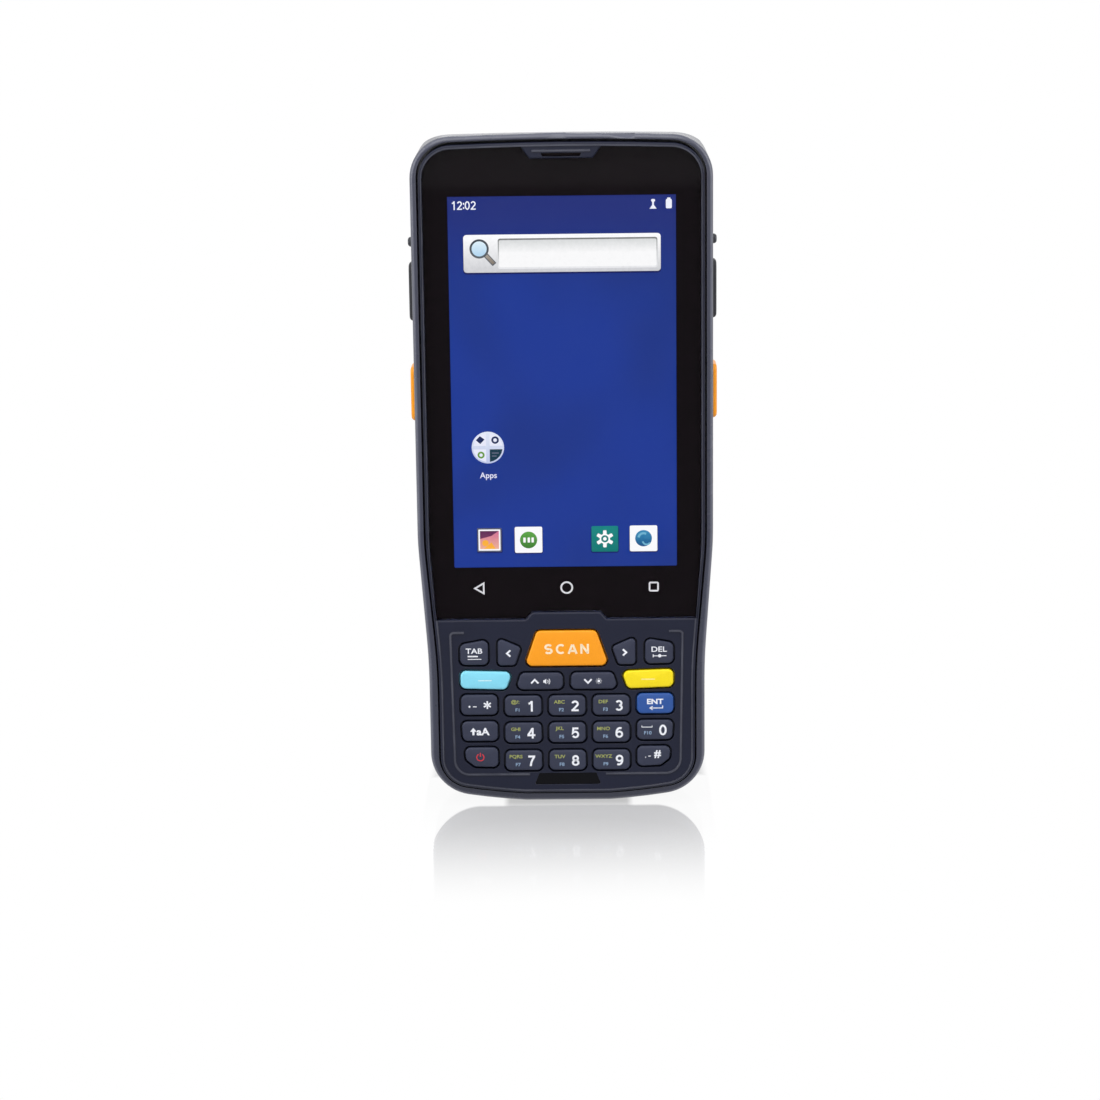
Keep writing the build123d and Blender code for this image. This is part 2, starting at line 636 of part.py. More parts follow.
def battery_cover():
    """The hinged cover: a rounded nose on two stubs at the top, a slot for the latch at the foot."""
    half, low = COVER
    cover = block(-half, half, COVER_SEAT, GRIP_BACK, low, HINGE_Z)
    cover = fillet([e for e in cover.edges().filter_by(Axis.Y) if e.center().Z < low + 1], 3)
    cover = fillet([e for e in edges_at(cover, GRIP_BACK) if e.center().Z < HINGE_Z - 1], 0.3)
    width, height, middle = LABEL
    cover -= prism(Pos(0, middle) * RectangleRounded(width, height, 1.5), GRIP_BACK - 0.2, GRIP_BACK + 1)
    cover -= grip_grooves()
    nose = bar(-half, half, HINGE_Y, HINGE_Z, GRIP_BACK - HINGE_Y)
    cover += nose & block(-half, half, COVER_SEAT, GRIP_BACK, HINGE_Z - 2, HINGE_Z + 2)
    cover += both(bar(half - 1, half + 1.5, HINGE_Y, HINGE_Z, 0.6))
    return cover - block(-2.9, 2.9, COVER_SEAT - 1, GRIP_BACK + 1, 12.9, 18.7)


def cover_latch():
    """The latch slider, shown released: a thumb pad outside, a tongue inside the cover."""
    pad = block(-5, 5, GRIP_BACK + 0.1, GRIP_BACK + 0.8, 14.6, 19.6)
    for z in (15.8, 17.1, 18.4):
        pad -= bar(-4, 4, GRIP_BACK + 0.9, z, 0.35)
    neck = block(-2.6, 2.6, COVER_SEAT - 0.2, GRIP_BACK + 0.2, 15.2, 18.4)
    tongue = block(-3.8, 3.8, PACK_BACK + 0.3, COVER_SEAT - 0.2, 12.6, 19.6)
    return pad + neck + tongue


# --- screws ----------------------------------------------------------------------------------------
def screw(x, z, seat, tip, shank, head):
    """A pan-head screw along Y, its head behind its seat."""
    body = post(x, z, shank, tip, seat) + post(x, z, head, seat, seat + 1.0)
    return body - prism(Pos(x, z) * RegularPolygon(head * 0.55, 6), seat + 0.5, seat + 1.0)


def housing_screws():
    """Six screws that hold the rear housing to the bezel."""
    screws = []
    for x, z in SCREWS:
        back = HEAD_BACK if z > HEAD_HIGH else GRIP_BACK
        for side in (-1, 1):
            screws.append(screw(side * x, z, back - 1.6, SKIRT_BACK - 1.0, SCREW_R, 1.4))
    return Compound(children=screws)


def board_screws():
    """Six screws that hold the two boards to the chassis."""
    screws = [screw(side * x, z, BOARD_BACK, CHASSIS_FACE + 0.1, 0.6, 1.3)
              for x, z in BOARD_HOLES for side in (-1, 1)]
    return Compound(children=screws)


# --- every sub-part, written to its own file --------------------------------------------------------
PARTS = {
    "front_housing": front_housing(),
    "touch_glass": touch_glass(),
    "display_module": display_module(),
    "keypad_badge": keypad_badge(),
    "earpiece_mesh": earpiece_mesh(),
    "earpiece": earpiece(),
    "keypad_membrane": keypad_membrane(),
    "keypad_board": keypad_board(),
    "metal_domes": metal_domes(),
    "housing_seal": housing_seal(),
    "mid_chassis": mid_chassis(),
    "main_board": main_board(),
    "port_board": port_board(),
    "shield_cans": shield_cans(),
    "scan_engine": scan_engine(),
    "scan_window": scan_window(),
    "usb_socket": usb_socket(),
    "microphone": microphone(),
    "vibration_motor": vibration_motor(),
    "speaker": speaker(),
    "card_holder": card_holder(),
    "side_switches": side_switches(),
    "rear_housing": rear_housing(),
    "strap_studs": strap_studs(),
    "battery_pack": battery_pack(),
    "battery_contacts": battery_contacts(),
    "dock_contacts": dock_contacts(),
    "battery_cover": battery_cover(),
    "cover_latch": cover_latch(),
    "housing_screws": housing_screws(),
    "board_screws": board_screws(),
    "trigger_right": side_cap(TRIGGER, TRIGGER_PROUD),
    "trigger_left": mirror(side_cap(TRIGGER, TRIGGER_PROUD), about=Plane.YZ),
    "side_key_right": side_cap(SIDE_KEY, SIDE_KEY_PROUD),
    "side_key_left": mirror(side_cap(SIDE_KEY, SIDE_KEY_PROUD), about=Plane.YZ),
}
for name, face in KEYS.items():
    PARTS[name] = key_cap(face)

os.makedirs("parts", exist_ok=True)
for name, shape in PARTS.items():
    export_step(shape, f"parts/{name}.step")
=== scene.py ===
import bmesh
import bpy
import numpy as np
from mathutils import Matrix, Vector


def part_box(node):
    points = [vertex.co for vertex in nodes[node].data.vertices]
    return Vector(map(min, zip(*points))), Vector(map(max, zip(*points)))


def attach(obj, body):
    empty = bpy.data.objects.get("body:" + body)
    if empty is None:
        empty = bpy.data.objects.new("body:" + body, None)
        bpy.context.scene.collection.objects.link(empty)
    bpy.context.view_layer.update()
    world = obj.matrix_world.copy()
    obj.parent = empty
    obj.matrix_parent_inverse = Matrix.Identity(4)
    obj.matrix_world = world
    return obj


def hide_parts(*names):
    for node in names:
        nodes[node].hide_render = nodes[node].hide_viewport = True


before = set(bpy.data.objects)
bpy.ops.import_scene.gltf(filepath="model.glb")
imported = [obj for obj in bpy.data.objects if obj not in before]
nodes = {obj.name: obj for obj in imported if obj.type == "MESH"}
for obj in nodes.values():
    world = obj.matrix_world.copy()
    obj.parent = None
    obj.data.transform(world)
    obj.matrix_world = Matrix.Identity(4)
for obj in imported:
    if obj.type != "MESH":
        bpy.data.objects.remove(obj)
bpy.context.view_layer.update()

# --- Camera -----------------------------------------------
# A long lens about two thirds of a metre away, raised a little and tipped down to the terminal.
MM = 0.001
DISPLAY_Z = 101.1 * MM
CAMERA_PLACE = (0.0043, -0.679, DISPLAY_Z + 0.11636)
PITCH, ROLL, YAW = -0.22876, 0.01274, 0.01182
PICTURE_PIXELS = 1100
FOCAL_PIXELS = 2945.7
SENSOR = 36.0


def turn(axis, angle):
    """The 3 by 3 matrix that turns by an angle about axis 0, 1 or 2."""
    first, second = (axis + 1) % 3, (axis + 2) % 3
    matrix = np.eye(3)
    matrix[first, first] = matrix[second, second] = np.cos(angle)
    matrix[second, first] = np.sin(angle)
    matrix[first, second] = -np.sin(angle)
    return matrix


def stand(thing, right, up, back, place):
    """Puts a camera or lamp at a place, with its own x, y and z along three directions."""
    matrix = np.eye(4)
    matrix[:3] = np.stack((right, up, back, place), 1)
    bpy.context.scene.collection.objects.link(thing)
    thing.matrix_world = matrix.T.tolist()


lens = bpy.data.cameras.new("camera")
lens.sensor_width = SENSOR
lens.lens = SENSOR * FOCAL_PIXELS / PICTURE_PIXELS
lens.clip_start = 0.01
lens.clip_end = 50.0
camera = bpy.data.objects.new("camera", lens)
aim = turn(2, YAW) @ turn(0, PITCH) @ turn(1, ROLL)
stand(camera, aim[:, 0], aim[:, 2], -aim[:, 1], CAMERA_PLACE)
bpy.context.scene.camera = camera
bpy.context.scene.view_settings.view_transform = "Standard"

# --- Studio -----------------------------------------------
# A white acrylic table that gives a faint mirror image, under an overhead softbox, with a strip on each
# side, a low one in front and a fill behind. Away from the terminal the table is plain white to the eye.


def colour(red, green, blue):
    """A colour given as display values from 0 to 255, in the linear values that a shader takes."""
    value = np.array((red, green, blue)) / 255
    linear = np.where(value > 0.04045, ((value + 0.055) / 1.055) ** 2.4, value / 12.92)
    return (*linear.tolist(), 1.0)


def new_material(name):
    """An empty node material and its node tree."""
    material = bpy.data.materials.new(name)
    material.use_nodes = True
    material.node_tree.nodes.clear()
    return material, material.node_tree


def feed(tree, entries, values):
    """Gives input sockets their values: a link where a value is a socket, otherwise a default."""
    for entry, value in zip(entries, values):
        if isinstance(value, bpy.types.NodeSocket):
            tree.links.new(value, entry)
        else:
            entry.default_value = value


def add(tree, kind, **values):
    """Adds a shader node; each value is a property of the node or feeds an input socket."""
    node = tree.nodes.new("ShaderNode" + kind)
    for key, value in values.items():
        if hasattr(node, key):
            setattr(node, key, value)
        else:
            feed(tree, [node.inputs[key.replace("_", " ")]], [value])
    return node


def maths(tree, operation, *values, clamp=False):
    """A Math node fed by sockets or numbers; returns its output socket."""
    node = add(tree, "Math", operation=operation, use_clamp=clamp)
    feed(tree, node.inputs, values)
    return node.outputs[0]


def spread(tree, value, low, high, to_low=0.0, to_high=1.0, shape="LINEAR"):
    """A Map Range node: a value between low and high becomes one between to_low and to_high."""
    node = add(tree, "MapRange", interpolation_type=shape)
    feed(tree, node.inputs, (value, low, high, to_low, to_high))
    return node.outputs[0]


def object_place(tree):
    """The Object coordinates of the shaded point."""
    return add(tree, "TexCoord").outputs["Object"]


def object_axes(tree):
    """The shaded point's x, y and z in Object coordinates, as three sockets."""
    return add(tree, "SeparateXYZ", Vector=object_place(tree)).outputs


def noise(tree, scale, detail=2.0, rough=0.5):
    """A noise texture on Object coordinates; returns its value, from about 0.3 to 0.7."""
    texture = add(tree, "TexNoise", Vector=object_place(tree), Scale=scale, Detail=detail, Roughness=rough)
    return texture.outputs["Fac"]


def blended(tree, amount, first, second):
    """A colour that runs from the first to the second; each of the three may be a socket."""
    mix = add(tree, "Mix", data_type="RGBA")
    feed(tree, (mix.inputs[0], mix.inputs[6], mix.inputs[7]), (amount, first, second))
    return mix.outputs[2]


def surface(tree, shader):
    """Ends a material with its shader node."""
    add(tree, "OutputMaterial", Surface=shader.outputs[0])


def seen_directly(tree):
    """Two values: 1 for camera and transmission rays, and 1 for glossy rays; both 0 for rays that light."""
    ray = add(tree, "LightPath").outputs
    seen = maths(tree, "ADD", ray["Is Camera Ray"], ray["Is Transmission Ray"], clamp=True)
    return seen, ray["Is Glossy Ray"]


def mixed_shader(tree, amount, first, second):
    """A Mix Shader between two shader nodes; returns the node."""
    mix = add(tree, "MixShader")
    feed(tree, mix.inputs, (amount, first.outputs[0], second.outputs[0]))
    return mix


WHITE = (1.0, 1.0, 1.0, 1.0)
TABLE_HALF = 8.0
TABLE_NEAR = 0.002  # from this distance the table's shadow and mirror image begin to fade
TABLE_FAR = 0.070  # beyond this distance it is plain white
TABLE_GLOW = 0.25  # its share of plain white at the terminal's foot
MIRRORED_WHITE = 0.95  # its share of plain white in the terminal's own reflections
FOOT_DEPTH = 0.0125  # the mirror image starts this far in front of and behind the middle
FOOT_HALF = 0.031  # the mirror image is this wide, to each side of the middle
FOOT_SOFT = 0.0035  # beyond that, the table turns plain white over this distance
FOOT_ROUND = 0.0105  # the radius of the foot's corners
CONTACT_HALF = 0.0147  # the shadow under the foot shows this far to each side of the middle
CONTACT_SOFT = 0.0008  # the shadow's ends fade over this distance, inwards and outwards
CONTACT_GLOW = (0.52, 0.93)  # the share of plain white under the foot: in the shadow, and beside it
CONTACT_BACK = (0.014, 0.010)  # towards the back, that share ends between these depths
LOOK_SLOPE = 3.1  # the mirror image of a height is this many times as long on the table

world = bpy.data.worlds.new("studio")
bpy.context.scene.world = world
world.use_nodes = True
tree = world.node_tree
tree.nodes.clear()
ambient = add(tree, "Background", Color=(0.97, 0.98, 1.0, 1.0), Strength=0.55)
backdrop = add(tree, "Background", Color=WHITE, Strength=1.0)
sky = mixed_shader(tree, maths(tree, "ADD", *seen_directly(tree), clamp=True), ambient, backdrop)
add(tree, "OutputWorld", Surface=sky.outputs[0])

acrylic, tree = new_material("white_acrylic")
sheet = add(tree, "BsdfPrincipled", Base_Color=(0.52, 0.52, 0.53, 1.0), Roughness=0.07,
            Specular_IOR_Level=1.0)
plain = add(tree, "Emission", Color=WHITE, Strength=1.0)
x, y, _ = object_axes(tree)
across = maths(tree, "ABSOLUTE", x)
ahead = maths(tree, "SUBTRACT", maths(tree, "ABSOLUTE", y), FOOT_DEPTH)
far = spread(tree, ahead, TABLE_NEAR, TABLE_FAR, TABLE_GLOW, 1.0, "SMOOTHSTEP")
beside = spread(tree, across, FOOT_HALF - 0.0005, FOOT_HALF + FOOT_SOFT, shape="SMOOTHSTEP")
inward = maths(tree, "SUBTRACT", across, FOOT_HALF - FOOT_ROUND, clamp=True)
inner = maths(tree, "SUBTRACT", FOOT_ROUND**2, maths(tree, "MULTIPLY", inward, inward), clamp=True)
corner = maths(tree, "SUBTRACT", FOOT_ROUND, maths(tree, "SQRT", inner))
wedge = maths(tree, "MULTIPLY_ADD", corner, LOOK_SLOPE, 0.0002)
gap = spread(tree, maths(tree, "SUBTRACT", ahead, wedge), 0.001, -0.001)
in_front = spread(tree, y, *CONTACT_BACK)
gap_glow = spread(tree, across, CONTACT_HALF - CONTACT_SOFT, CONTACT_HALF + CONTACT_SOFT, *CONTACT_GLOW)
# Painted light: in the gap under the foot, most of all under its curved ends, the table is painted plain
# white to the eye over its own shadow.
near = maths(tree, "MULTIPLY", maths(tree, "MULTIPLY", gap, gap_glow), in_front)
fade = maths(tree, "MAXIMUM", maths(tree, "MAXIMUM", far, beside), near)
seen, mirrored = seen_directly(tree)
share = maths(tree, "MULTIPLY_ADD", mirrored, MIRRORED_WHITE, maths(tree, "MULTIPLY", fade, seen))
surface(tree, mixed_shader(tree, share, sheet, plain))

table_mesh = bpy.data.meshes.new("table")
table_corners = np.array([(-1, -1, 0), (1, -1, 0), (1, 1, 0), (-1, 1, 0)]) * TABLE_HALF
table_mesh.from_pydata(table_corners.tolist(), [], [(0, 1, 2, 3)])
table_mesh.materials.append(acrylic)
table = bpy.data.objects.new("table", table_mesh)
bpy.context.scene.collection.objects.link(table)


def unit(steps):
    """One vector or each of several, divided by its own length."""
    return steps / np.linalg.norm(steps, axis=-1, keepdims=True)


def softbox(name, place, width, height, watts):
    """A rectangular lamp at a place, turned towards the middle of the terminal."""
    data = bpy.data.lights.new(name, "AREA")
    data.shape = "RECTANGLE"
    data.size = width
    data.size_y = height
    data.energy = watts
    back = unit(np.array(place) - (0, 0, DISPLAY_Z))
    side = unit(np.cross((0, 0, 1), back))
    stand(bpy.data.objects.new(name, data), side, np.cross(back, side), back, place)


softbox("overhead", (-0.15, -0.55, 1.15), 1.3, 0.9, 10.5)
softbox("left_strip", (-0.95, -0.20, 0.35), 0.25, 1.1, 4.5)
softbox("right_strip", (0.95, -0.15, 0.35), 0.25, 1.1, 4.0)
softbox("low_front", (0.0, -1.20, 0.12), 1.5, 0.2, 2.0)
softbox("back_fill", (0.2, 1.1, 0.8), 1.0, 0.8, 4.0)

# --- Front and rear housings ------------------------------
# Two injection-moulded shells in dark blue-grey polycarbonate, screwed together from behind. The tool
# is spark-eroded, so both have a fine even grain, and hands polish it in patches. Their edges are painted
# paler, partly as wear and partly as a painted highlight; raised lines and rounded shoulders are painted
# paler as highlights.


def new_group(name, inputs, outputs):
    """A shader node group with named sockets; returns the group, its input node and its output node."""
    group = bpy.data.node_groups.new(name, "ShaderNodeTree")
    for way, sockets in (("INPUT", inputs), ("OUTPUT", outputs)):
        for socket, kind in sockets.items():
            group.interface.new_socket(socket, in_out=way, socket_type="NodeSocket" + kind)
    return group, group.nodes.new("NodeGroupInput"), group.nodes.new("NodeGroupOutput")


def scaled(tree, shade, amount):
    """A colour, or a socket that gives one, times a value."""
    return add(tree, "VectorMath", operation="SCALE", Vector=shade, Scale=amount).outputs[0]


def build_moulded_grain():
    """The grain of moulded plastic, as a colour, a roughness and a height that change over it.

    The height is fine noise. Slow noise, times the drift, moves the brightness and the roughness about
    their base values, and the fine noise adds specks to the colour.
    """
    group, given, made = new_group(
        "moulded_grain", {"Colour": "Color", "Roughness": "Float", "Grain Scale": "Float", "Drift": "Float"},
        {"Colour": "Color", "Roughness": "Float", "Height": "Float"})
    grain = noise(group, given.outputs["Grain Scale"], 3.0, 0.6)
    slow = maths(group, "SUBTRACT", noise(group, 45.0, 4.0, 0.65), 0.5)
    drift = maths(group, "MULTIPLY", slow, given.outputs["Drift"])
    specks = maths(group, "MULTIPLY_ADD", grain, 0.2, 0.9)
    brightness = maths(group, "MULTIPLY", maths(group, "ADD", drift, 1.0), specks)
    rough = maths(group, "MULTIPLY_ADD", drift, 0.5, given.outputs["Roughness"])
    feed(group, made.inputs, (scaled(group, given.outputs["Colour"], brightness), rough, grain))
    return group


def build_edge_wear():
    """Where an edge is painted paler, partly as wear and partly as a painted highlight: a mask and the normal
    of a slightly rounded edge.

    The mask is how far the rounded normal leans from the true one, broken up by noise.
    """
    group, given, made = new_group("edge_highlight_and_wear", {"Width": "Float"}, {"Mask": "Float", "Normal": "Vector"})
    softened = add(group, "Bevel", samples=4, Radius=given.outputs["Width"]).outputs[0]
    lean = add(group, "VectorMath", operation="DOT_PRODUCT")
    feed(group, lean.inputs, (softened, add(group, "NewGeometry").outputs["Normal"]))
    edge = spread(group, lean.outputs["Value"], 0.995, 0.80)
    broken = maths(group, "MULTIPLY", edge, spread(group, noise(group, 260.0, 3.0), 0.35, 0.6))
    feed(group, made.inputs, (broken, softened))
    return group


def tinted(shade, times, more=0.0):
    """A colour with each of its values multiplied and added to, up to 1."""
    return (*[min(1.0, times * value + more) for value in shade[:3]], 1.0)


moulded_grain = build_moulded_grain()
edge_highlight_and_wear = build_edge_wear()
SHOULDER_LEAN = 0.62  # how far the normals of a shoulder with a painted highlight lean forwards


def moulded(name, base, rough, grain=5200.0, depth=0.02, drift=0.3, wear_and_highlight=0.25, width=0.15, specular=0.5,
            proud=None, shoulder=0.0):
    """Moulded plastic or rubber: grain in colour, roughness and bump, and edges painted paler, partly as wear
    and partly as a painted highlight.

    The base colour is given as display values.
    Where proud is given, the raised lines that stand in front of that depth are painted paler too: a painted
    highlight.
    Above 0, shoulder is how much paler the rounded shoulders are painted, whose normals lean half way out
    from the front: a painted highlight.
    """
    material, tree = new_material(name)
    base = colour(*base)
    grains = add(tree, "Group", node_tree=moulded_grain, Colour=base, Roughness=rough,
                 Grain_Scale=grain, Drift=drift)
    edges = add(tree, "Group", node_tree=edge_highlight_and_wear, Width=width * MM)
    # Painted highlight, partly wear: edges are painted paler by this mask.
    highlight_and_wear_mask = maths(tree, "MULTIPLY", edges.outputs["Mask"], wear_and_highlight)
    # Painted highlight: raised lines in front of the proud depth are painted paler.
    if proud is not None:
        raised = maths(tree, "LESS_THAN", object_axes(tree)[1], proud)
        patchy = spread(tree, noise(tree, 140.0, 3.0), 0.35, 0.65, 0.45, 0.75)
        highlight_and_wear_mask = maths(tree, "MAXIMUM", highlight_and_wear_mask, maths(tree, "MULTIPLY", raised, patchy))
    # Painted highlight: shoulders whose normals lean part way forwards are painted paler.
    if shoulder:
        facing = add(tree, "SeparateXYZ", Vector=add(tree, "TexCoord").outputs["Normal"]).outputs[1]
        lean = maths(tree, "ABSOLUTE", maths(tree, "ADD", facing, SHOULDER_LEAN))
        leaning = spread(tree, lean, 0.36, 0.10, 0.0, shoulder, "SMOOTHSTEP")
        patchy = spread(tree, noise(tree, 90.0, 4.0), 0.35, 0.65, 0.7, 1.0)
        highlight_and_wear_mask = maths(tree, "MAXIMUM", highlight_and_wear_mask, maths(tree, "MULTIPLY", leaning, patchy))
    bump = add(tree, "Bump", Strength=0.6, Distance=depth * MM, Height=grains.outputs["Height"],
               Normal=edges.outputs["Normal"])
    shader = add(tree, "BsdfPrincipled", Specular_IOR_Level=specular, Normal=bump.outputs[0],
                 Base_Color=blended(tree, highlight_and_wear_mask, grains.outputs["Colour"], tinted(base, 1.6, 0.075)),
                 Roughness=grains.outputs["Roughness"])
    surface(tree, shader)
    return material


def finish(material, *names):
    """Gives CAD nodes a finish through their material slots."""
    for name in names:
        nodes[name].material_slots[0].material = material


BEZEL_FACE = -12.6 * MM
front_plastic = moulded("front_shell_plastic", (19, 23, 43), 0.36, wear_and_highlight=0.5, width=0.25, specular=0.2,
                        proud=BEZEL_FACE - 0.06 * MM)
rear_plastic = moulded("rear_shell_plastic", (41, 44, 63), 0.28, wear_and_highlight=0.35, width=0.2, shoulder=0.9)
finish(front_plastic, "front_housing")
finish(rear_plastic, "rear_housing", "battery_cover")

# --- Ear slot, badge and seal -----------------------------
# A woven steel mesh is welded over the receiver behind the ear slot. The badge is a polished black
# acrylic inlay, left bare. A soft silicone ring is squeezed between the two shells against dust.


def woven(name, wires, holes, pitch):
    """A fine woven mesh: two crossed sets of sine waves in colour and bump, a wire to each wave."""
    material, tree = new_material(name)
    x, _, z = object_axes(tree)
    waves = [maths(tree, "SINE", maths(tree, "MULTIPLY", along, 2 * np.pi / pitch)) for along in (x, z)]
    height = maths(tree, "MULTIPLY", *waves)
    bump = add(tree, "Bump", Strength=1.0, Distance=0.1 * pitch, Height=height)
    shader = add(tree, "BsdfPrincipled", Metallic=0.6, Roughness=0.5, Normal=bump.outputs[0],
                 Base_Color=blended(tree, spread(tree, height, -0.4, 0.6), holes, wires))
    surface(tree, shader)
    return material


finish(woven("ear_mesh_steel", colour(66, 54, 58), colour(14, 8, 10), 0.32 * MM), "earpiece_mesh")
badge_acrylic = moulded("badge_acrylic", (5, 5, 10), 0.2, 2600.0, 0.002, wear_and_highlight=0.12, specular=0.1)
finish(badge_acrylic, "keypad_badge")
black_plastic = moulded("inner_black_plastic", (28, 28, 31), 0.48, specular=0.35)
finish(black_plastic, "earpiece", "speaker")
silicone = moulded("grey_silicone", (128, 130, 136), 0.62, grain=2200.0, wear_and_highlight=0.05, specular=0.3)
finish(silicone, "housing_seal", "keypad_membrane")

# --- Keys -------------------------------------------------
# Twenty-four hard-coated caps on a silicone mat, each with a soft shoulder and a slightly crowned face.
# Most are dark grey; scan, enter and two function keys are moulded in resins of their own colour.
KEY_FACE = -13.0 * MM
KEY_SIDE = -12.6 * MM  # depth of the CAD cap's outline, where its front fillet starts
KEY_CROWN = 0.10 * MM
KEY_SHOULDER = (0.50 * MM, 0.42 * MM)  # how far in and how high the shoulder turns
KEY_FLANGE = (0.6 * MM, -10.2 * MM, -9.6 * MM)  # how far out, and its front and back
KEY_STEM = (1.2 * MM, -8.1 * MM)  # radius and back


def key_outline(name):
    """A key's outline in (x, z), counter-clockwise from the front: its CAD vertices at one depth."""
    points = np.array([vertex.co for vertex in nodes[name].data.vertices])
    level = points[np.abs(points[:, 1] - KEY_SIDE) < 0.01 * MM][:, (0, 2)]
    level = np.unique(np.round(level, 6), axis=0)
    away = level - level.mean(0)
    return level[np.argsort(np.arctan2(away[:, 1], away[:, 0]))]


def outward(loop):
    """The outward normal at each point of a counter-clockwise loop, the mean of its two edges'."""
    edge = unit(np.roll(loop, -1, 0) - loop)
    both = unit(edge + np.roll(edge, 1, 0))
    return np.stack((both[:, 1], -both[:, 0]), 1)


def crown_depth(loop, points):
    """Depth of a key's crowned face at (x, z) points.

    A point's share of the way from the middle to the edge is the greatest, over the edges, of its
    distance along the edge's normal over the edge's own. The crown falls with its square.
    """
    middle = loop.mean(0)
    normal = outward(loop)
    reach = (normal * (loop - middle)).sum(1) - KEY_SHOULDER[0]
    share = ((points - middle) @ normal.T / reach).max(1)
    return KEY_FACE + KEY_CROWN * np.clip(share, 0, 1) ** 2


def lofted(rows):
    """A closed skin through rows of equally many points, each row (x, y, z), with both ends capped."""
    count = rows.shape[1]
    index = np.arange(rows.shape[0] * count).reshape(rows.shape[:2])
    after = np.roll(index, -1, 1)
    walls = np.stack((index[:-1], after[:-1], after[1:], index[1:]), 2).reshape(-1, 4)
    return rows.reshape(-1, 3), [index[0, ::-1].tolist(), index[-1].tolist(), *walls.tolist()]


def key_rows(loop):
    """The rows of a key cap, back to front: flange, side, a quarter-round shoulder, then the crown.

    Up to the shoulder a row is the outline moved along its normals. Each crown row is the shoulder's
    last row drawn in towards the middle of the key.
    """
    normal = outward(loop)
    out, flange_front, flange_back = KEY_FLANGE
    inset, height = KEY_SHOULDER
    edge = KEY_FACE + KEY_CROWN
    angle = np.linspace(0, np.pi / 2, 6)
    moves = [(out, flange_back), (out, flange_front), (0, flange_front)]
    moves += list(zip(inset * (np.cos(angle) - 1), edge + height * (1 - np.sin(angle))))
    rows = [np.insert(loop + move * normal, 1, depth, axis=1) for move, depth in moves]
    last = loop - inset * normal
    for share in (0.85, 0.7, 0.5, 0.3, 0.12):
        ring = last.mean(0) + (last - last.mean(0)) * share
        rows.append(np.insert(ring, 1, KEY_FACE + KEY_CROWN * share**2, axis=1))
    return np.array(rows)


def round_loop(x, z, radius, count=32):
    """Points on a circle in (x, z), counter-clockwise from the front."""
    angle = np.linspace(0, 2 * np.pi, count, endpoint=False)
    return np.stack((x + radius * np.cos(angle), z + radius * np.sin(angle)), 1)


def joined(shapes):
    """Several shapes as one; a shape is its points and its faces."""
    starts = np.cumsum([0] + [len(points) for points, _ in shapes]).tolist()
    faces = [[start + corner for corner in face] for start, (_, own) in zip(starts, shapes) for face in own]
    return np.concatenate([points for points, _ in shapes]), faces


def piece(name, marks, body, smooth=0.0):
    """One object from several marks, each (points, faces, material), riding on a body.

    Above 0, smooth is the angle in degrees past which an edge stays sharp.
    """
    mesh = bpy.data.meshes.new(name)
    materials, which = [], []
    for _, own, material in marks:
        if material not in materials:
            materials.append(material)
            mesh.materials.append(material)
        which += [materials.index(material)] * len(own)
    points, faces = joined([mark[:2] for mark in marks])
    mesh.from_pydata(points.tolist(), [], faces)
    mesh.polygons.foreach_set("material_index", which)
    mesh.polygons.foreach_set("use_smooth", [smooth > 0] * len(faces))
    if smooth:
        mesh.set_sharp_from_angle(angle=np.radians(smooth))
    mesh.update()
    made = bpy.data.objects.new(name, mesh)
    bpy.context.scene.collection.objects.link(made)
    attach(made, body)
    return made


KEY_RESINS = {
    "key_plastic": moulded("grey_resin", (46, 50, 69), 0.38, wear_and_highlight=0.35, width=0.25, specular=0.25)}
for tone, base, drift, wear_and_highlight in (("orange", (246, 155, 14), 0.10, 0.12), ("cyan", (132, 214, 236), 0.10, 0.10),
                                ("yellow", (244, 220, 16), 0.10, 0.10), ("blue", (38, 80, 152), 0.12, 0.12)):
    KEY_RESINS[tone + "_plastic"] = moulded(tone + "_resin", base, 0.36, drift=drift, wear_and_highlight=wear_and_highlight, specular=0.3)
KEY_SLOTS = {"key_scan": "orange_plastic", "key_cyan": "cyan_plastic", "key_yellow": "yellow_plastic",
             "key_enter": "blue_plastic"}
outlines = {name: key_outline(name) for name in nodes if name.startswith("key_")}

for name, loop in outlines.items():
    slot = KEY_SLOTS.get(name, "key_plastic")
    radius, back = KEY_STEM
    stem = round_loop(*loop.mean(0), radius)
    stem_rows = np.array([np.insert(stem, 1, depth, axis=1) for depth in (back, KEY_FLANGE[2])])
    cap = piece(name + "_cap", [(*lofted(key_rows(loop)), KEY_RESINS[slot]),
                                (*lofted(stem_rows), KEY_RESINS[slot])], name, smooth=50)
    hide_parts(name)

# --- Side controls ----------------------------------------
# A hard orange trigger on each side for the scanner, a long rubber-skinned key above each, and a black
# stud above that, pressed into the wall, which a wrist strap hooks over.
finish(KEY_RESINS["orange_plastic"], "trigger_left", "trigger_right")
side_rubber = moulded("black_rubber", (34, 35, 40), 0.55, 3800.0, 0.03, wear_and_highlight=0.18, specular=0.3)
finish(side_rubber, "side_key_left", "side_key_right")
finish(moulded("stud_nylon", (40, 42, 50), 0.38, wear_and_highlight=0.35, width=0.25, specular=0.4), "strap_studs")

# --- Key legends ------------------------------------------
# Pad-printed inks a few hundredths of a millimetre thick, that follow the crown of each cap. White is
# the main sign; a small yellow-green one sits above left of it and a pale blue one below left.
INK = 0.018 * MM


def ink(name, base):
    """A printed ink: satin, with faint mottling of its colour, which is given as display values."""
    material, tree = new_material(name)
    mottling = spread(tree, noise(tree, 3500.0), 0.3, 0.7, 0.85, 1.05)
    shader = add(tree, "BsdfPrincipled", Specular_IOR_Level=0.4,
                 Base_Color=scaled(tree, colour(*base)[:3], mottling),
                 Roughness=spread(tree, noise(tree, 900.0), 0.3, 0.7, 0.42, 0.58))
    surface(tree, shader)
    return material


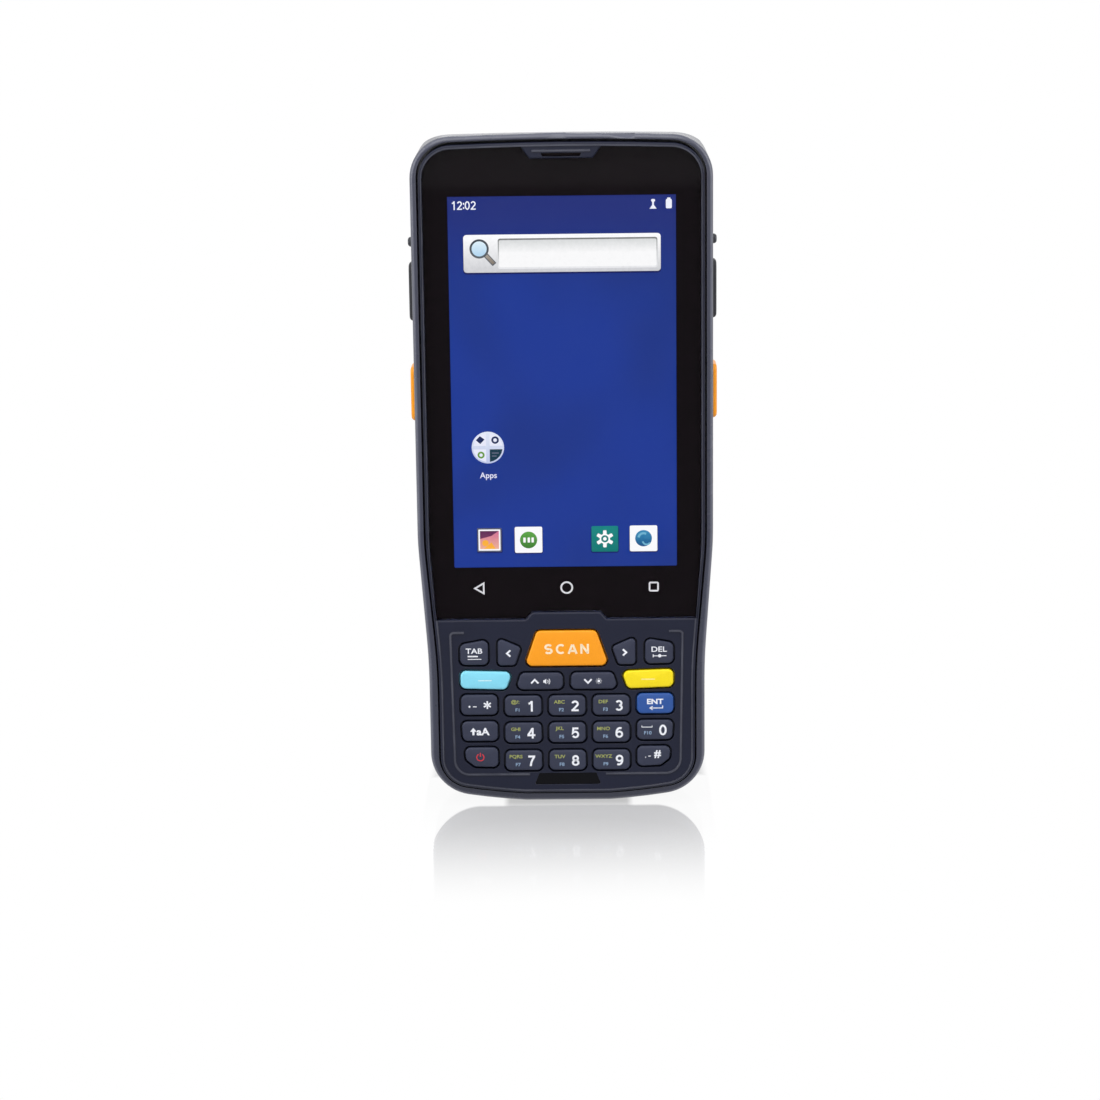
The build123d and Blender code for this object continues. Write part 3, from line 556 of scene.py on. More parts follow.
white_ink = ink("white_ink", (236, 238, 244))
letter_ink = ink("letter_ink", (158, 164, 88))
function_ink = ink("function_ink", (140, 166, 196))
red_ink = ink("red_ink", (206, 44, 58))
cream_ink = ink("cream_ink", (252, 230, 194))
pale_blue_ink = ink("pale_blue_ink", (206, 240, 246))
pale_yellow_ink = ink("pale_yellow_ink", (252, 238, 150))


def plate(loop):
    """A flat plate with a unit of thickness each way: a loop in (x, z) at y -1 and +1."""
    rows = np.array([np.insert(np.asarray(loop, float), 1, side, axis=1) for side in (1, -1)])
    return lofted(rows)


def fine(path, longest=0.25):
    """The same path with points added evenly, so that no step is longer than a length."""
    path = np.asarray(path, float)
    reach = np.linalg.norm(np.diff(path, axis=0), axis=1)
    steps = np.maximum(1, np.ceil(reach / longest)).astype(int)
    place = np.concatenate([corner + np.arange(count) / count for corner, count in enumerate(steps)])
    place = np.append(place, len(path) - 1)
    return np.stack([np.interp(place, np.arange(len(path)), path[:, axis]) for axis in (0, 1)], 1)


def line(path, width):
    """A line of even width along a path in (x, z), as a plate: four rails, mitred at the corners."""
    path = fine(path)
    step = unit(np.diff(path, axis=0))
    before, after = np.vstack((step[:1], step)), np.vstack((step, step[-1:]))
    mean = unit(before + after)
    side = np.stack((mean[:, 1], -mean[:, 0]), 1) * (width / 2 / (mean * after).sum(1))[:, None]
    rails = np.stack((path + side, path + side, path - side, path - side), 1)
    depth = np.tile((-1.0, 1.0, 1.0, -1.0), (len(path), 1))
    return lofted(np.stack((rails[:, :, 0], depth, rails[:, :, 1]), 2))


def level(x0, x1, z, width):
    """A line straight across, from x0 to x1."""
    return line([(x0, z), (x1, z)], width)


def arc(x, z, across, high, start, end):
    """Points along part of an ellipse, from one angle to another, in degrees."""
    angle = np.radians(np.linspace(start, end, max(4, int(abs(end - start) / 12))))
    return np.stack((x + across * np.cos(angle), z + high * np.sin(angle)), 1)


def ring(x, z, radius, width, start=0.0, end=360.0):
    """A ring or part of one, as a line along an arc."""
    return line(arc(x, z, radius, radius, start, end), width)


def box_loop(x0, z0, x1, z1, radius, steps=5):
    """A rounded rectangle in (x, z): a quarter circle round each corner's centre."""
    angle = np.linspace(0, np.pi / 2, steps)
    quarters = []
    for turned, (x, z) in enumerate(((x1, z1), (x0, z1), (x0, z0), (x1, z0))):
        along = angle + turned * np.pi / 2
        inward = np.array((1 if x == x0 else -1, 1 if z == z0 else -1)) * radius
        quarters.append(np.array((x, z)) + inward + radius * np.stack((np.cos(along), np.sin(along)), 1))
    return np.vstack(quarters)


CAPITAL = 0.70  # the height of a capital, in the font's sizes


def lettering(text, height, x, z, weight=0.0, stretch=1.0):
    """Text centred on (x, z) as a plate, its capitals a given height; weight thickens its strokes."""
    curve = bpy.data.curves.new("lettering", "FONT")
    curve.body = text
    curve.size = height / CAPITAL
    curve.offset = weight
    curve.extrude = 1.0
    curve.resolution_u = 4
    holder = bpy.data.objects.new("lettering", curve)
    bpy.context.scene.collection.objects.link(holder)
    shape = bmesh.new()
    shape.from_mesh(holder.evaluated_get(bpy.context.evaluated_depsgraph_get()).to_mesh())
    bmesh.ops.remove_doubles(shape, verts=shape.verts, dist=1e-7)
    flat = np.array([vertex.co for vertex in shape.verts])
    faces = [[vertex.index for vertex in face.verts] for face in shape.faces]
    shape.free()
    bpy.data.objects.remove(holder)
    middle = (flat.max(0) + flat.min(0)) / 2
    places = (x + (flat[:, 0] - middle[0]) * stretch, -flat[:, 2], z + flat[:, 1] - middle[1])
    return np.stack(places, 1), faces


def path(*stretches):
    """One path through several stretches, each a list of points."""
    return np.vstack([np.asarray(stretch, float).reshape(-1, 2) for stretch in stretches])


SIGNS = {  # the strokes of each bold sign, in heights from its middle
    "0": [arc(0, 0, 0.22, 0.415, 0, 360)],
    "1": [[(0.06, -0.5), (0.06, 0.5)], [(-0.19, 0.24), (-0.06, 0.30), (0.04, 0.42)]],
    "2": [path(arc(0.0, 0.185, 0.215, 0.23, 165, -30), [(-0.20, -0.40)]), [(-0.29, -0.415), (0.28, -0.415)]],
    "3": [arc(-0.01, 0.21, 0.195, 0.205, 155, -85), arc(-0.01, -0.20, 0.22, 0.215, 85, -155)],
    "4": [[(0.08, 0.44), (-0.25, -0.16)], [(-0.32, -0.19), (0.31, -0.19)], [(0.10, -0.5), (0.10, 0.5)]],
    "5": [path([(0.24, 0.415), (-0.15, 0.415), (-0.19, 0.0)], arc(0.0, -0.155, 0.22, 0.26, 130, -150))],
    "6": [arc(0.0, -0.165, 0.22, 0.25, 0, 360), arc(0.05, 0.0, 0.27, 0.415, 195, 62)],
    "7": [[(-0.27, 0.415), (0.27, 0.415)], [(0.21, 0.42), (0.04, 0.08), (-0.05, -0.2), (-0.09, -0.5)]],
    "8": [arc(0.0, 0.215, 0.185, 0.20, 0, 360), arc(0.0, -0.20, 0.22, 0.215, 0, 360)],
    "S": [path(arc(0.0, 0.205, 0.25, 0.21, 30, 270), arc(0.0, -0.205, 0.26, 0.21, 90, -150))],
    "C": [arc(0.03, 0.0, 0.33, 0.415, 48, 312)],
    "A": [[(-0.33, -0.5), (-0.03, 0.46)], [(0.33, -0.5), (0.03, 0.46)], [(-0.2, -0.2), (0.2, -0.2)]],
    "N": [[(-0.27, -0.5), (-0.27, 0.5)], [(-0.24, 0.40), (0.24, -0.40)], [(0.27, -0.5), (0.27, 0.5)]],
    ":": [[(0, 0.10), (0, 0.30)], [(0, -0.38), (0, -0.18)]],
}
SIGNS["9"] = [-np.asarray(stroke) for stroke in SIGNS["6"]]


def drawn(text, height, x, z, pitch=0.8, weight=0.18, stretch=1.15):
    """Bold signs side by side, centred on (x, z), as one plate; pitch and stroke weight are in heights."""
    shapes = []
    for place, letter in enumerate(text):
        across = x + (place - (len(text) - 1) / 2) * pitch * height
        bends = [(across, z) + np.asarray(stroke) * (stretch * height, height) for stroke in SIGNS[letter]]
        shapes += [line(bend, weight * height) for bend in bends]
    return joined(shapes)


def printed(name, *groups):
    """Prints a key's legend, which rides on the key.

    Each group is an ink and its shapes, in millimetres from the key's middle, laid on the crown.
    """
    key = "key_" + name
    loop = outlines[key]
    middle = (loop.max(0) + loop.min(0)) / 2
    laid = []
    for tone, *shapes in groups:
        for points, faces in shapes:
            flat = middle + points[:, (0, 2)] * MM
            depth = crown_depth(loop, flat) + points[:, 1] * INK
            laid.append((np.insert(flat, 1, depth, axis=1), faces, tone))
    piece("legend_" + name, laid, key)


LETTERS = ("@/:", "ABC", "DEF", "GHI", "JKL", "MNO", "PQRS", "TUV", "WXYZ")
for digit, group in enumerate(LETTERS, 1):
    printed(str(digit), (white_ink, drawn(str(digit), 2.6, 1.85, -0.05)),
            (letter_ink, lettering(group, 0.80, -1.85, 0.95, 0.02, 1.15)),
            (function_ink, lettering(f"F{digit}", 0.80, -1.35, -0.95, 0.02, 1.1)))

space_bar = [(-3.1, 1.1), (-3.1, 0.75), (-0.7, 0.75), (-0.7, 1.1)]
printed("0", (white_ink, drawn("0", 2.6, 1.85, 0.0), line(space_bar, 0.16)),
        (function_ink, lettering("F10", 0.80, -1.7, -0.65, 0.02, 1.1)))

spokes = [0.95 * np.array((np.cos(angle), np.sin(angle))) for angle in np.radians((30, 90, 150))]
star = np.array((1.9, 0.05))
printed("star", (
    white_ink, *[line([star - spoke, star + spoke], 0.36) for spoke in spokes],
    plate(round_loop(-2.3, -0.35, 0.24, 12)), level(-1.5, -0.6, -0.35, 0.22)))

printed("hash", (
    white_ink, lettering("#", 1.8, 0.9, 0.5, 0.08, 1.0), lettering(",", 0.55, -1.9, -0.25, 0.05, 1.0),
    level(-1.3, -0.7, 0.05, 0.18)))

up_arrow = [(-0.25, -0.85), (0.25, -0.85), (0.25, 0.0), (0.75, 0.0), (0.0, 0.95), (-0.75, 0.0), (-0.25, 0.0)]
printed("shift", (
    white_ink, plate(np.array(up_arrow) + (-1.55, 0.0)), lettering("aA", 1.7, 0.75, 0.0, 0.08, 1.1)))

printed("tab", (
    white_ink, lettering("TAB", 1.25, 0.0, 0.55, 0.025, 1.2), level(-1.5, 0.9, -0.75, 0.34),
    level(-1.5, 1.7, -1.45, 0.18)))

printed("del", (
    white_ink, lettering("DEL", 1.25, 0.0, 0.6, 0.025, 1.2), level(-1.5, 1.7, -1.0, 0.2),
    plate(round_loop(0.1, -1.0, 0.42, 12)), line([(-1.4, -0.65), (-1.4, -1.35)], 0.2)))

printed("enter", (
    white_ink, lettering("ENT", 1.2, 0.0, 0.55, 0.06, 1.2),
    line([(1.75, -0.45), (1.75, -1.05), (-1.2, -1.05)], 0.22),
    line([(-0.6, -0.6), (-1.25, -1.05), (-0.6, -1.5)], 0.2)))

printed("scan", (cream_ink, drawn("SCAN", 2.35, 0.0, -0.1, 1.2, 0.21, 1.2)))

for side, way in (("left", -1), ("right", 1)):
    tip = np.array([(-0.4, 0.75), (0.4, 0.0), (-0.4, -0.75)]) * (way, 1) + (0.1 * way, -0.1)
    printed(side, (white_ink, line(tip, 0.42)))

cone = [(0.7, -0.3), (1.0, -0.3), (1.4, -0.65), (1.4, 0.65), (1.0, 0.3), (0.7, 0.3)]
sound = [plate(cone), *[ring(1.3, 0.0, reach, 0.16, -42, 42) for reach in (0.55, 0.95)]]
lamp = [plate(round_loop(1.25, 0.0, 0.34, 16))]
for spoke in np.radians(np.arange(0, 360, 45)):
    ray = np.array((np.cos(spoke), np.sin(spoke)))
    lamp.append(line([ray * 0.50 + (1.25, 0), ray * 0.72 + (1.25, 0)], 0.14))
for side, way, sign in (("up", 1, sound), ("down", -1, lamp)):
    tip = np.array([(-0.85, -0.45), (0.0, 0.45), (0.85, -0.45)]) * (1, way) + (-1.3, 0.0)
    printed(side, (white_ink, line(tip, 0.40), *sign))

printed("cyan", (pale_blue_ink, level(-1.7, 1.5, 0.0, 0.26)))
printed("yellow", (pale_yellow_ink, level(-1.7, 1.5, 0.0, 0.26)))
printed("power", (red_ink, ring(-0.35, 0.1, 0.85, 0.24, 120, 420), line([(-0.35, 0.25), (-0.35, 1.2)], 0.24)))

# --- Display ----------------------------------------------
# A 4-inch panel bonded behind the glass. It is lit: a blue picture with a clock, a search field, a
# folder and four tiles, each a thin plate that glows by itself, just in front of the panel's face.
PANEL_FRONT = -10.95 * MM
LAYER = 0.012 * MM
PICTURE_HALF = (25.92 * MM, 43.2 * MM)
COATED_IOR = 1.10  # as low as the glass's coating makes its reflection
GLASS_ROUGH = 0.03


def from_centre(tree):
    """The x and z of the shaded point, in metres from the centre of the picture."""
    x, _, z = object_axes(tree)
    return x, maths(tree, "SUBTRACT", z, DISPLAY_Z)


def glowing(tree, light):
    """A lit surface that reflects as faintly as coated glass: the shader that ends a display material."""
    shader = add(tree, "BsdfPrincipled", Base_Color=(0.003, 0.003, 0.003, 1.0), Roughness=GLASS_ROUGH,
                 IOR=COATED_IOR, Emission_Strength=1.0, Emission_Color=light)
    surface(tree, shader)


def lit(name, low, high=None, bottom=-43.2, top=43.2):
    """A glow that runs from one colour, low down, to another, with faint noise.

    Both are display values; without the second, the first becomes a little brighter.
    """
    material, tree = new_material(name)
    low = colour(*low)
    high = colour(*high) if high else tinted(low, 1.06)
    amount = spread(tree, from_centre(tree)[1], bottom * MM, top * MM)
    waver = spread(tree, noise(tree, 1500.0), 0.3, 0.7, -0.08, 0.08)
    glowing(tree, blended(tree, maths(tree, "ADD", amount, waver, clamp=True), low, high))
    return material


wallpaper, tree = new_material("wallpaper")
within = [maths(tree, "COMPARE", along, 0.0, half) for along, half in zip(from_centre(tree), PICTURE_HALF)]
cloud = spread(tree, noise(tree, 32.0, 1.0), 0.36, 0.62, shape="SMOOTHSTEP")
sky = blended(tree, cloud, colour(29, 53, 132), colour(29, 57, 147))
dusk = spread(tree, from_centre(tree)[1], 20 * MM, 43 * MM, shape="SMOOTHSTEP")
sky = blended(tree, dusk, sky, colour(35, 48, 120))
glowing(tree, blended(tree, maths(tree, "MULTIPLY", *within), (0.0, 0.0, 0.0, 1.0), sky))

low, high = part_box("display_module")
rows = [np.insert(box_loop(low[0], low[2], high[0], high[2], 0.8 * MM), 1, depth, axis=1)
        for depth in (high[1], PANEL_FRONT)]
panel = piece("display_panel", [(*lofted(np.array(rows)), wallpaper)], "terminal")
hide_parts("display_module")


def on_screen(shape, layer, tone, x=0.0, z=0.0):
    """A glowing plate, its shape in millimetres from (x, z), some layers in front of the panel."""
    points, faces = shape
    depth = PANEL_FRONT - (layer - 0.5 - 0.45 * points[:, 1]) * LAYER
    return np.stack(((points[:, 0] + x) * MM, depth, DISPLAY_Z + (points[:, 2] + z) * MM), 1), faces, tone


def tile(x0, z0, x1, z1, radius, layer, tone):
    """A rounded rectangle on the screen."""
    return on_screen(plate(box_loop(x0, z0, x1, z1, radius)), layer, tone)


def disc(x, z, radius, layer, tone, count=40):
    """A round plate on the screen."""
    return on_screen(plate(round_loop(x, z, radius, count)), layer, tone)


def shown(name, *marks):
    """A part of the lit picture, as a piece of its own on the terminal."""
    piece(name, marks, "terminal")


screen_white = lit("screen_white", (228, 230, 248), (240, 242, 252))
paper_white = lit("paper_white", (250, 250, 252), (255, 255, 255))
mast = [(20.55, 40.2), (20.95, 40.2), (20.95, 42.1), (20.55, 42.1)]
mast_foot = [(19.95, 40.0), (21.55, 40.0), (21.0, 40.8), (20.5, 40.8)]
shown("status_bar",
      *[on_screen(drawn(text, 2.0, x, 41.2, 0.67, 0.14, 1.0), 1, screen_white)
        for text, x in (("12", -23.8), (":", -22.2), ("02", -20.7))],
      on_screen(plate(mast), 1, screen_white),
      on_screen(plate(mast_foot), 2, screen_white),
      tile(20.3, 41.6, 21.2, 42.2, 0.25, 2, screen_white),
      tile(23.65, 40.05, 25.0, 42.15, 0.25, 1, screen_white),
      tile(23.95, 42.0, 24.7, 42.5, 0.15, 2, screen_white))

bar_shadow = lit("bar_shadow", (18, 26, 84))
bar_paper = lit("bar_paper", (206, 207, 210), (254, 254, 255), 25.9, 34.2)
field_rim = lit("field_rim", (234, 235, 237), (118, 120, 120), 27.2, 33.4)
field_paper = lit("field_paper", (250, 250, 250), (214, 216, 216), 30.2, 33.4)
lens_rim = lit("lens_rim", (96, 102, 108), (66, 72, 80), 29.0, 33.0)
lens_glass = lit("lens_glass", (168, 208, 236), (222, 240, 250), 29.2, 32.8)
handle_metal = lit("handle_metal", (128, 116, 104), (168, 160, 150), 27.6, 30.0)
shown("search_field",
      tile(-22.55, 25.45, 22.55, 34.35, 0.8, 1, bar_shadow),
      tile(-22.45, 25.85, 22.45, 34.5, 0.75, 2, bar_paper),
      tile(-14.6, 26.65, 21.7, 33.6, 0.5, 3, field_rim),
      tile(-14.35, 27.05, 21.5, 33.25, 0.4, 4, field_paper),
      on_screen(line([(-17.5, 30.0), (-15.4, 27.7)], 1.15), 3, lens_rim),
      on_screen(line([(-17.3, 29.8), (-15.55, 27.9)], 0.7), 4, handle_metal),
      disc(-18.85, 31.3, 2.2, 5, lens_rim),
      disc(-18.85, 31.3, 1.72, 6, lens_glass))

folder_pale = lit("folder_pale", (190, 200, 232), (226, 232, 246), -18.5, -11.0)
folder_dark = lit("folder_dark", (30, 42, 88))
folder_grey = lit("folder_grey", (96, 104, 128))
leaf_green = lit("leaf_green", (104, 152, 66))
slate = lit("slate", (28, 58, 74))
FOLDER = (-17.65, -14.75)
FOLDER_QUARTER = path(arc(0, 0, 3.4, 3.4, 7, 83), [(0.42, 0.42)])
diamond = [(-2.75, 1.75), (-1.75, 0.85), (-0.75, 1.9), (-1.8, 2.7)]
signs = [(plate(FOLDER_QUARTER @ turn(2, -quarter * np.pi / 2)[:2, :2]), 2, tone)
         for quarter, tone in enumerate((screen_white, screen_white, screen_white, slate))]
signs += [(plate(diamond), 3, folder_dark), (ring(1.7, 1.75, 0.65, 0.45), 3, folder_dark),
          (ring(-1.6, -1.75, 0.6, 0.42), 3, leaf_green),
          (level(0.9, 2.5, -1.3, 0.25), 3, folder_grey), (level(0.9, 2.0, -2.0, 0.25), 3, folder_grey)]
shown("apps_folder", disc(*FOLDER, 3.75, 1, folder_pale), *[on_screen(*sign, *FOLDER) for sign in signs],
      on_screen(lettering("Apps", 1.35, FOLDER[0], -21.5, 0.02, 1.0), 1, screen_white))

DOCK_Z = -36.6
frame_grey = lit("frame_grey", (86, 90, 110))
dusk_pink = lit("dusk_pink", (236, 176, 150), (206, 104, 150), -39.0, -34.2)
dusk_plum = lit("dusk_plum", (120, 60, 96), (92, 44, 84), -37.0, -34.2)
low_sun = lit("low_sun", (250, 176, 60))
tile_shadow = lit("tile_shadow", (25, 36, 98))
SHADOW_LAYER = 0.5
clouds = [(-19.85, DOCK_Z + 0.2), (-17.2, DOCK_Z + 0.9), (-15.45, DOCK_Z + 2.1), (-19.85, DOCK_Z + 2.1)]
glow = [(-19.0, DOCK_Z - 2.2), (-16.2, DOCK_Z - 2.2), (-17.2, DOCK_Z - 0.6)]
shown("gallery_tile",
      tile(-20.6, DOCK_Z - 3.2, -14.6, DOCK_Z + 2.6, 0.4, SHADOW_LAYER, tile_shadow),
      tile(-20.5, DOCK_Z - 2.9, -14.8, DOCK_Z + 2.8, 0.2, 1, frame_grey),
      tile(-20.2, DOCK_Z - 2.6, -15.1, DOCK_Z + 2.45, 0.15, 2, paper_white),
      tile(-19.85, DOCK_Z - 2.2, -15.45, DOCK_Z + 2.1, 0.1, 3, dusk_pink),
      on_screen(plate(clouds), 4, dusk_plum),
      disc(-18.6, DOCK_Z - 0.8, 0.75, 5, low_sun, 20),
      on_screen(plate(glow), 4, low_sun))


def icon(x0, z0, x1, z1, tone):
    """An icon's rounded tile and the shadow under it; its heights are from the middle of the dock."""
    low, high = DOCK_Z + z0, DOCK_Z + z1
    return (tile(x0 - 0.15, low - 0.3, x1 + 0.15, high - 0.2, 0.5, SHADOW_LAYER, tile_shadow),
            tile(x0, low, x1, high, 0.35, 1, tone))


disc_green = lit("disc_green", (62, 122, 50), (96, 168, 74), -38.8, -34.4)
columns = [tile(x - 0.28, DOCK_Z - 0.75, x + 0.28, DOCK_Z + 0.45, 0.12, 3, paper_white)
           for x in (-9.5, -8.5, -7.6)]
shown("notes_tile", *icon(-11.75, -3.2, -5.35, 3.0, paper_white),
      disc(-8.55, DOCK_Z - 0.15, 2.0, 2, disc_green), *columns)

teal = lit("teal", (18, 118, 112), (24, 134, 128), -39.8, -33.6)
angle = np.linspace(0, 2 * np.pi, 96, endpoint=False)
teeth = 1.62 + 0.42 * np.clip(2.2 * np.cos(6 * angle + np.pi), -1, 1)
gear = np.stack((9.2 + teeth * np.cos(angle), DOCK_Z - 0.05 + teeth * np.sin(angle)), 1)
shown("settings_tile", *icon(6.1, -3.1, 12.3, 3.0, teal), on_screen(plate(gear), 2, paper_white),
      disc(9.2, DOCK_Z - 0.05, 0.85, 3, teal), disc(9.2, DOCK_Z - 0.05, 0.42, 4, paper_white, 20))

globe_blue = lit("globe_blue", (22, 78, 132), (62, 146, 190), -38.6, -34.4)
globe_land = lit("globe_land", (112, 178, 206))
shown("globe_tile", *icon(15.0, -3.1, 21.4, 3.05, paper_white), disc(18.2, DOCK_Z, 1.95, 2, globe_blue),
      on_screen(ring(18.2, DOCK_Z, 1.2, 0.5, 60, 170), 3, globe_land),
      on_screen(ring(18.9, DOCK_Z - 0.6, 0.9, 0.4, 190, 330), 3, globe_land))

# --- Cover glass ------------------------------------------
# Hardened glass with a border of black enamel and three pale navigation signs printed on its back. The
# layers behind the pane carry its faint reflection, because on the clear pane itself it renders as grain.
BORDER_FRONT = -11.12 * MM
BORDER_BACK = -11.105 * MM
SIGN_FRONT = -11.135 * MM
NAVIGATION_Z = -48.2

glass, tree = new_material("coated_glass")
smudges = spread(tree, noise(tree, 60.0, 5.0, 0.7), 0.45, 0.75, 0.03, 0.06)
surface(tree, add(tree, "BsdfPrincipled", Base_Color=(0.99, 0.99, 1.0, 1.0), IOR=1.0,
                  Transmission_Weight=1.0, Roughness=smudges))
finish(glass, "touch_glass")

enamel, tree = new_material("black_enamel")
black = blended(tree, noise(tree, 400.0), colour(11, 8, 10), colour(15, 11, 14))
surface(tree, add(tree, "BsdfPrincipled", Base_Color=black, IOR=COATED_IOR, Roughness=GLASS_ROUGH))


def glass_outline():
    """The cover glass's outline in (x, z): its CAD vertices on the back face, in order.

    It dips at two notches, so the points are ordered by the boundary edges they share, not by angle.
    """
    shape = bmesh.new()
    shape.from_mesh(nodes["touch_glass"].data)
    bmesh.ops.remove_doubles(shape, verts=shape.verts, dist=1e-6)
    depth = max(vertex.co.y for vertex in shape.verts)
    rim = [edge for edge in shape.edges
           if all(abs(vertex.co.y - depth) < 1e-6 for vertex in edge.verts)
           and any(abs(face.normal.y) < 0.5 for face in edge.link_faces)]
    near = {}
    for edge in rim:
        first, second = edge.verts
        near.setdefault(first, []).append(second)
        near.setdefault(second, []).append(first)
    walk = [rim[0].verts[0], rim[0].verts[1]]
    while walk[-1] is not walk[0]:
        walk.append(next(vertex for vertex in near[walk[-1]] if vertex is not walk[-2]))
    loop = np.array([(vertex.co.x, vertex.co.z) for vertex in walk[:-1]])
    shape.free()
    after = np.roll(loop, -1, 0)
    if (loop[:, 0] * after[:, 1] - loop[:, 1] * after[:, 0]).sum() < 0:
        loop = loop[::-1]
    return loop


def border_band(outer, half, front, back):
    """A flat frame from an outline to the picture's window, with walls on both.

    Each outline point's partner is where the ray from the picture's centre to it meets the window.
    """
    centre = np.array((0.0, DISPLAY_Z))
    away = outer - centre
    shrink = 1 / np.abs(away / half).max(1)
    inner = centre + away * shrink[:, None]
    flat = np.concatenate((outer, inner, outer, inner))
    count = len(outer)
    points = np.insert(flat, 1, np.repeat((front, back), 2 * count), axis=1)
    here = np.arange(count)
    after = np.roll(here, -1)
    bands = ((0, 1), (1, 3), (3, 2), (2, 0))
    faces = [np.stack((here + a * count, after + a * count, after + b * count, here + b * count), 1)
             for a, b in bands]
    return points, np.concatenate(faces).tolist()


BORDER_STEPS = 24  # each edge of the outline is divided, so that the band follows the window's corners
outer = glass_outline()
along = np.linspace(0, 1, BORDER_STEPS, endpoint=False)[:, None]
parts = np.vstack([start + (end - start) * along for start, end in zip(outer, np.roll(outer, -1, 0))])
marks = [(*border_band(parts, np.array(PICTURE_HALF), BORDER_FRONT, BORDER_BACK), enamel)]
piece("glass_border", marks, "terminal")


def hollow(loop, width):
    """The outline of a convex loop, drawn with a line of even width just inside it, as a plate."""
    loop = np.asarray(loop, float)
    edge = unit(np.roll(loop, -1, 0) - loop)
    normal = np.stack((-edge[:, 1], edge[:, 0]), 1)
    before = np.roll(normal, 1, 0)
    inner = loop + (normal + before) * (width / (1 + (normal * before).sum(1)))[:, None]
    return plate(np.vstack((loop, loop[:1], inner[:1], inner[::-1])))


triangle = [(-21.6, NAVIGATION_Z), (-19.0, NAVIGATION_Z - 1.55), (-19.0, NAVIGATION_Z + 1.55)]
square = box_loop(19.35, NAVIGATION_Z - 1.15, 21.7, NAVIGATION_Z + 1.2, 0.45)
points, faces = joined([hollow(triangle, 0.38), ring(0.2, NAVIGATION_Z, 1.3, 0.38), hollow(square, 0.38)])
depth = np.where(points[:, 1] < 0, SIGN_FRONT, BORDER_FRONT)
laid = np.stack((points[:, 0] * MM, depth, DISPLAY_Z + points[:, 2] * MM), 1)
marks = [(laid, faces, ink("sign_ink", (188, 188, 192)))]
piece("navigation_signs", marks, "terminal")

# --- Scan window and engine -------------------------------
# The scan engine looks out of the top end through a window of dark red acrylic, which passes its red
# aiming light. The engine is a black block with a small round lens.
window_red, tree = new_material("red_acrylic")
dark_red = blended(tree, noise(tree, 240.0, 3.0), colour(74, 6, 14), colour(54, 4, 10))
scuffs = spread(tree, noise(tree, 900.0, 4.0), 0.4, 0.75, 0.02, 0.08)
surface(tree, add(tree, "BsdfPrincipled", Base_Color=dark_red, Roughness=scuffs, IOR=1.2,
                  Transmission_Weight=0.6))
finish(window_red, "scan_window")
finish(black_plastic, "scan_engine")

# --- Boards and electronics -------------------------------
# Two green circuit boards on a cast magnesium chassis, a third under the keys, and on them tinned
# shield cans, snap domes and sockets of pressed steel. None of it shows until the terminal is opened.


def metal(name, base, rough, streak=1400.0, grip=0.05, wear_and_highlight=0.5, width=0.08):
    """Bare metal: streaks drawn out along Z in roughness and bump, faint stains, and edges painted brighter,
    partly as wear and partly as a painted highlight.

    The base colour is given as display values.
    """
    material, tree = new_material(name)
    base = colour(*base)
    drawn_out = add(tree, "Mapping", Vector=object_place(tree), Scale=(1.0, 1.0, grip))
    streaks = add(tree, "TexNoise", Vector=drawn_out.outputs[0], Scale=streak, Detail=3.0).outputs["Fac"]
    cloud = spread(tree, noise(tree, 160.0, 4.0), 0.4, 0.65)
    edges = add(tree, "Group", node_tree=edge_highlight_and_wear, Width=width * MM)
    # Edges painted brighter: partly wear, partly a painted highlight.
    highlight_and_wear_mask = maths(tree, "MULTIPLY", edges.outputs["Mask"], wear_and_highlight)
    bump = add(tree, "Bump", Strength=0.5, Distance=0.01 * MM, Height=streaks,
               Normal=edges.outputs["Normal"])
    clean = blended(tree, cloud, base, tinted(base, 0.82))
    shader = add(tree, "BsdfPrincipled", Metallic=1.0, Normal=bump.outputs[0],
                 Base_Color=blended(tree, highlight_and_wear_mask, clean, tinted(base, 1.25, 0.05)),
                 Roughness=spread(tree, streaks, 0.3, 0.7, rough - 0.08, rough + 0.12))
    surface(tree, shader)
    return material


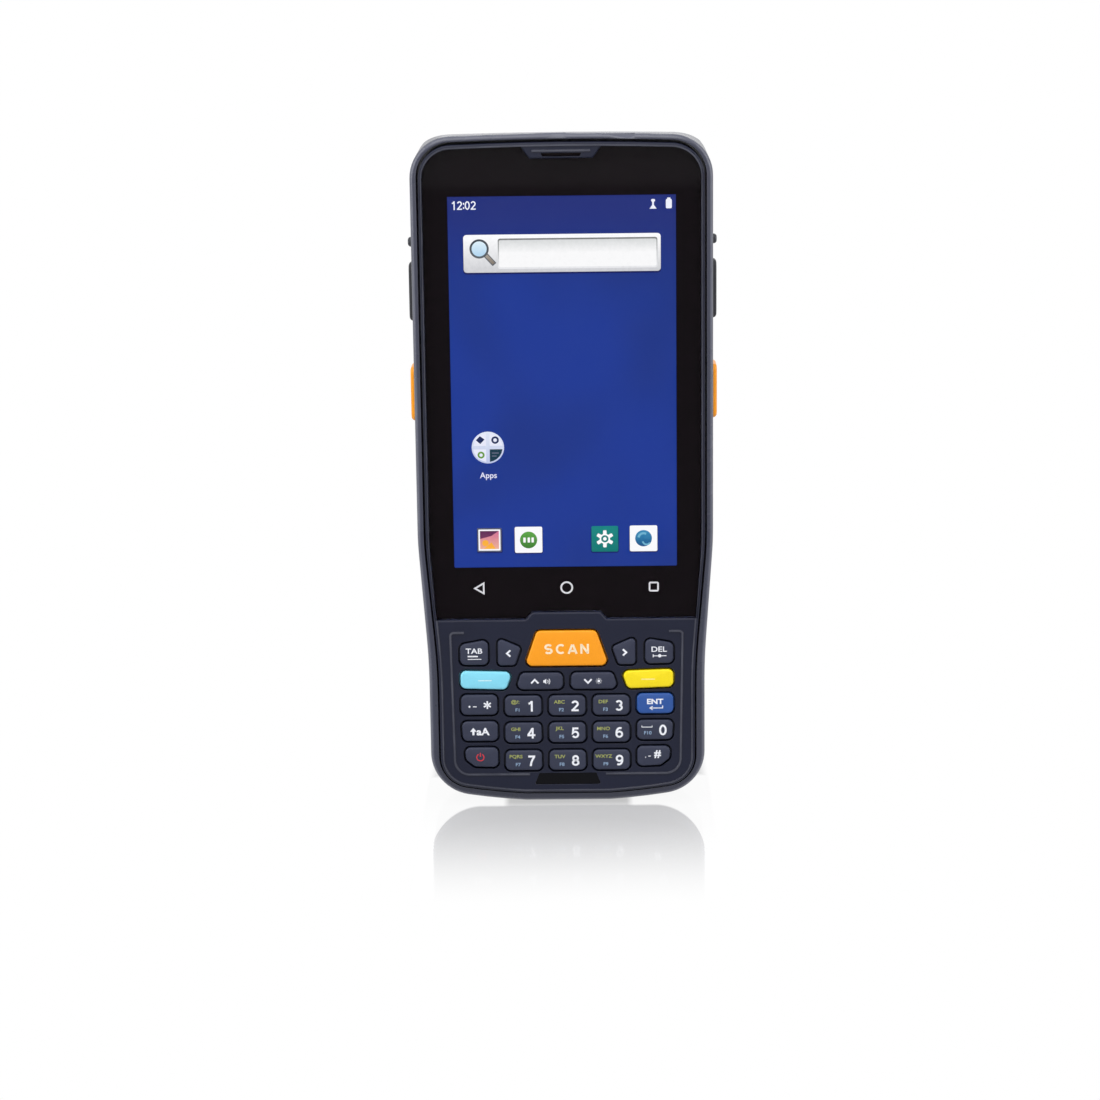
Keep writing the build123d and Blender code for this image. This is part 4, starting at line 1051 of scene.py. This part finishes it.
def board_mask():
    """Green solder mask: the lines between two sizes of bricks are tracks, and round spots are pads."""
    material, tree = new_material("green_board")
    upright = add(tree, "Mapping", Vector=object_place(tree), Rotation=(np.pi / 2, 0, 0)).outputs[0]
    green = colour(12, 62, 38)
    for scale in (90.0, 310.0):
        bricks = add(tree, "TexBrick", Vector=upright, Scale=scale, Mortar_Size=0.02, Brick_Width=0.7,
                     Row_Height=0.3)
        green = blended(tree, bricks.outputs["Fac"], green, colour(34, 104, 66))
    pads = add(tree, "TexVoronoi", Vector=upright, Scale=420.0)
    spots = spread(tree, pads.outputs["Distance"], 0.24, 0.18)
    bump = add(tree, "Bump", Strength=0.5, Distance=0.03 * MM, Height=spots)
    shader = add(tree, "BsdfPrincipled", Roughness=0.32, Metallic=spots, Normal=bump.outputs[0],
                 Base_Color=blended(tree, spots, green, colour(206, 170, 96)))
    surface(tree, shader)
    return material


finish(board_mask(), "main_board", "port_board", "keypad_board")
finish(metal("cast_magnesium", (168, 170, 174), 0.48, 700.0, 1.0), "mid_chassis")
tinned_steel = metal("tinned_steel", (196, 197, 200), 0.28)
finish(tinned_steel, "shield_cans", "metal_domes", "usb_socket", "microphone", "vibration_motor",
       "card_holder", "board_screws")
finish(black_plastic, "side_switches", "battery_contacts")
finish(metal("gold_plate", (226, 184, 96), 0.24, wear_and_highlight=0.2), "dock_contacts")

# --- Battery, latch and screws ----------------------------
# A cell pack in printed black film with a bare silver label, under the hinged cover. The cover's latch
# is a ribbed black slider, and six black oxide screws with hexagon sockets hold the shells together.
LABEL_HALF = (19.0 * MM, 17.0 * MM)
LABEL_Z = 51.0 * MM

film, tree = new_material("pack_film")
x, _, z = object_axes(tree)
label = maths(tree, "MULTIPLY", maths(tree, "COMPARE", x, 0.0, LABEL_HALF[0]),
              maths(tree, "COMPARE", z, LABEL_Z, LABEL_HALF[1]))
wrinkles = noise(tree, 120.0, 5.0, 0.6)
silver = blended(tree, wrinkles, colour(186, 188, 192), colour(206, 208, 212))
black = blended(tree, wrinkles, colour(26, 27, 31), colour(36, 37, 42))
bump = add(tree, "Bump", Strength=0.5, Distance=0.06 * MM, Height=wrinkles)
surface(tree, add(tree, "BsdfPrincipled", Base_Color=blended(tree, label, black, silver),
                  Roughness=spread(tree, wrinkles, 0.3, 0.7, 0.28, 0.42),
                  Specular_IOR_Level=0.4, Normal=bump.outputs[0]))
finish(film, "battery_pack")
finish(moulded("latch_nylon", (22, 23, 27), 0.50, wear_and_highlight=0.3, width=0.12, specular=0.35), "cover_latch")
finish(metal("black_oxide", (46, 46, 50), 0.42, wear_and_highlight=0.7), "housing_screws")
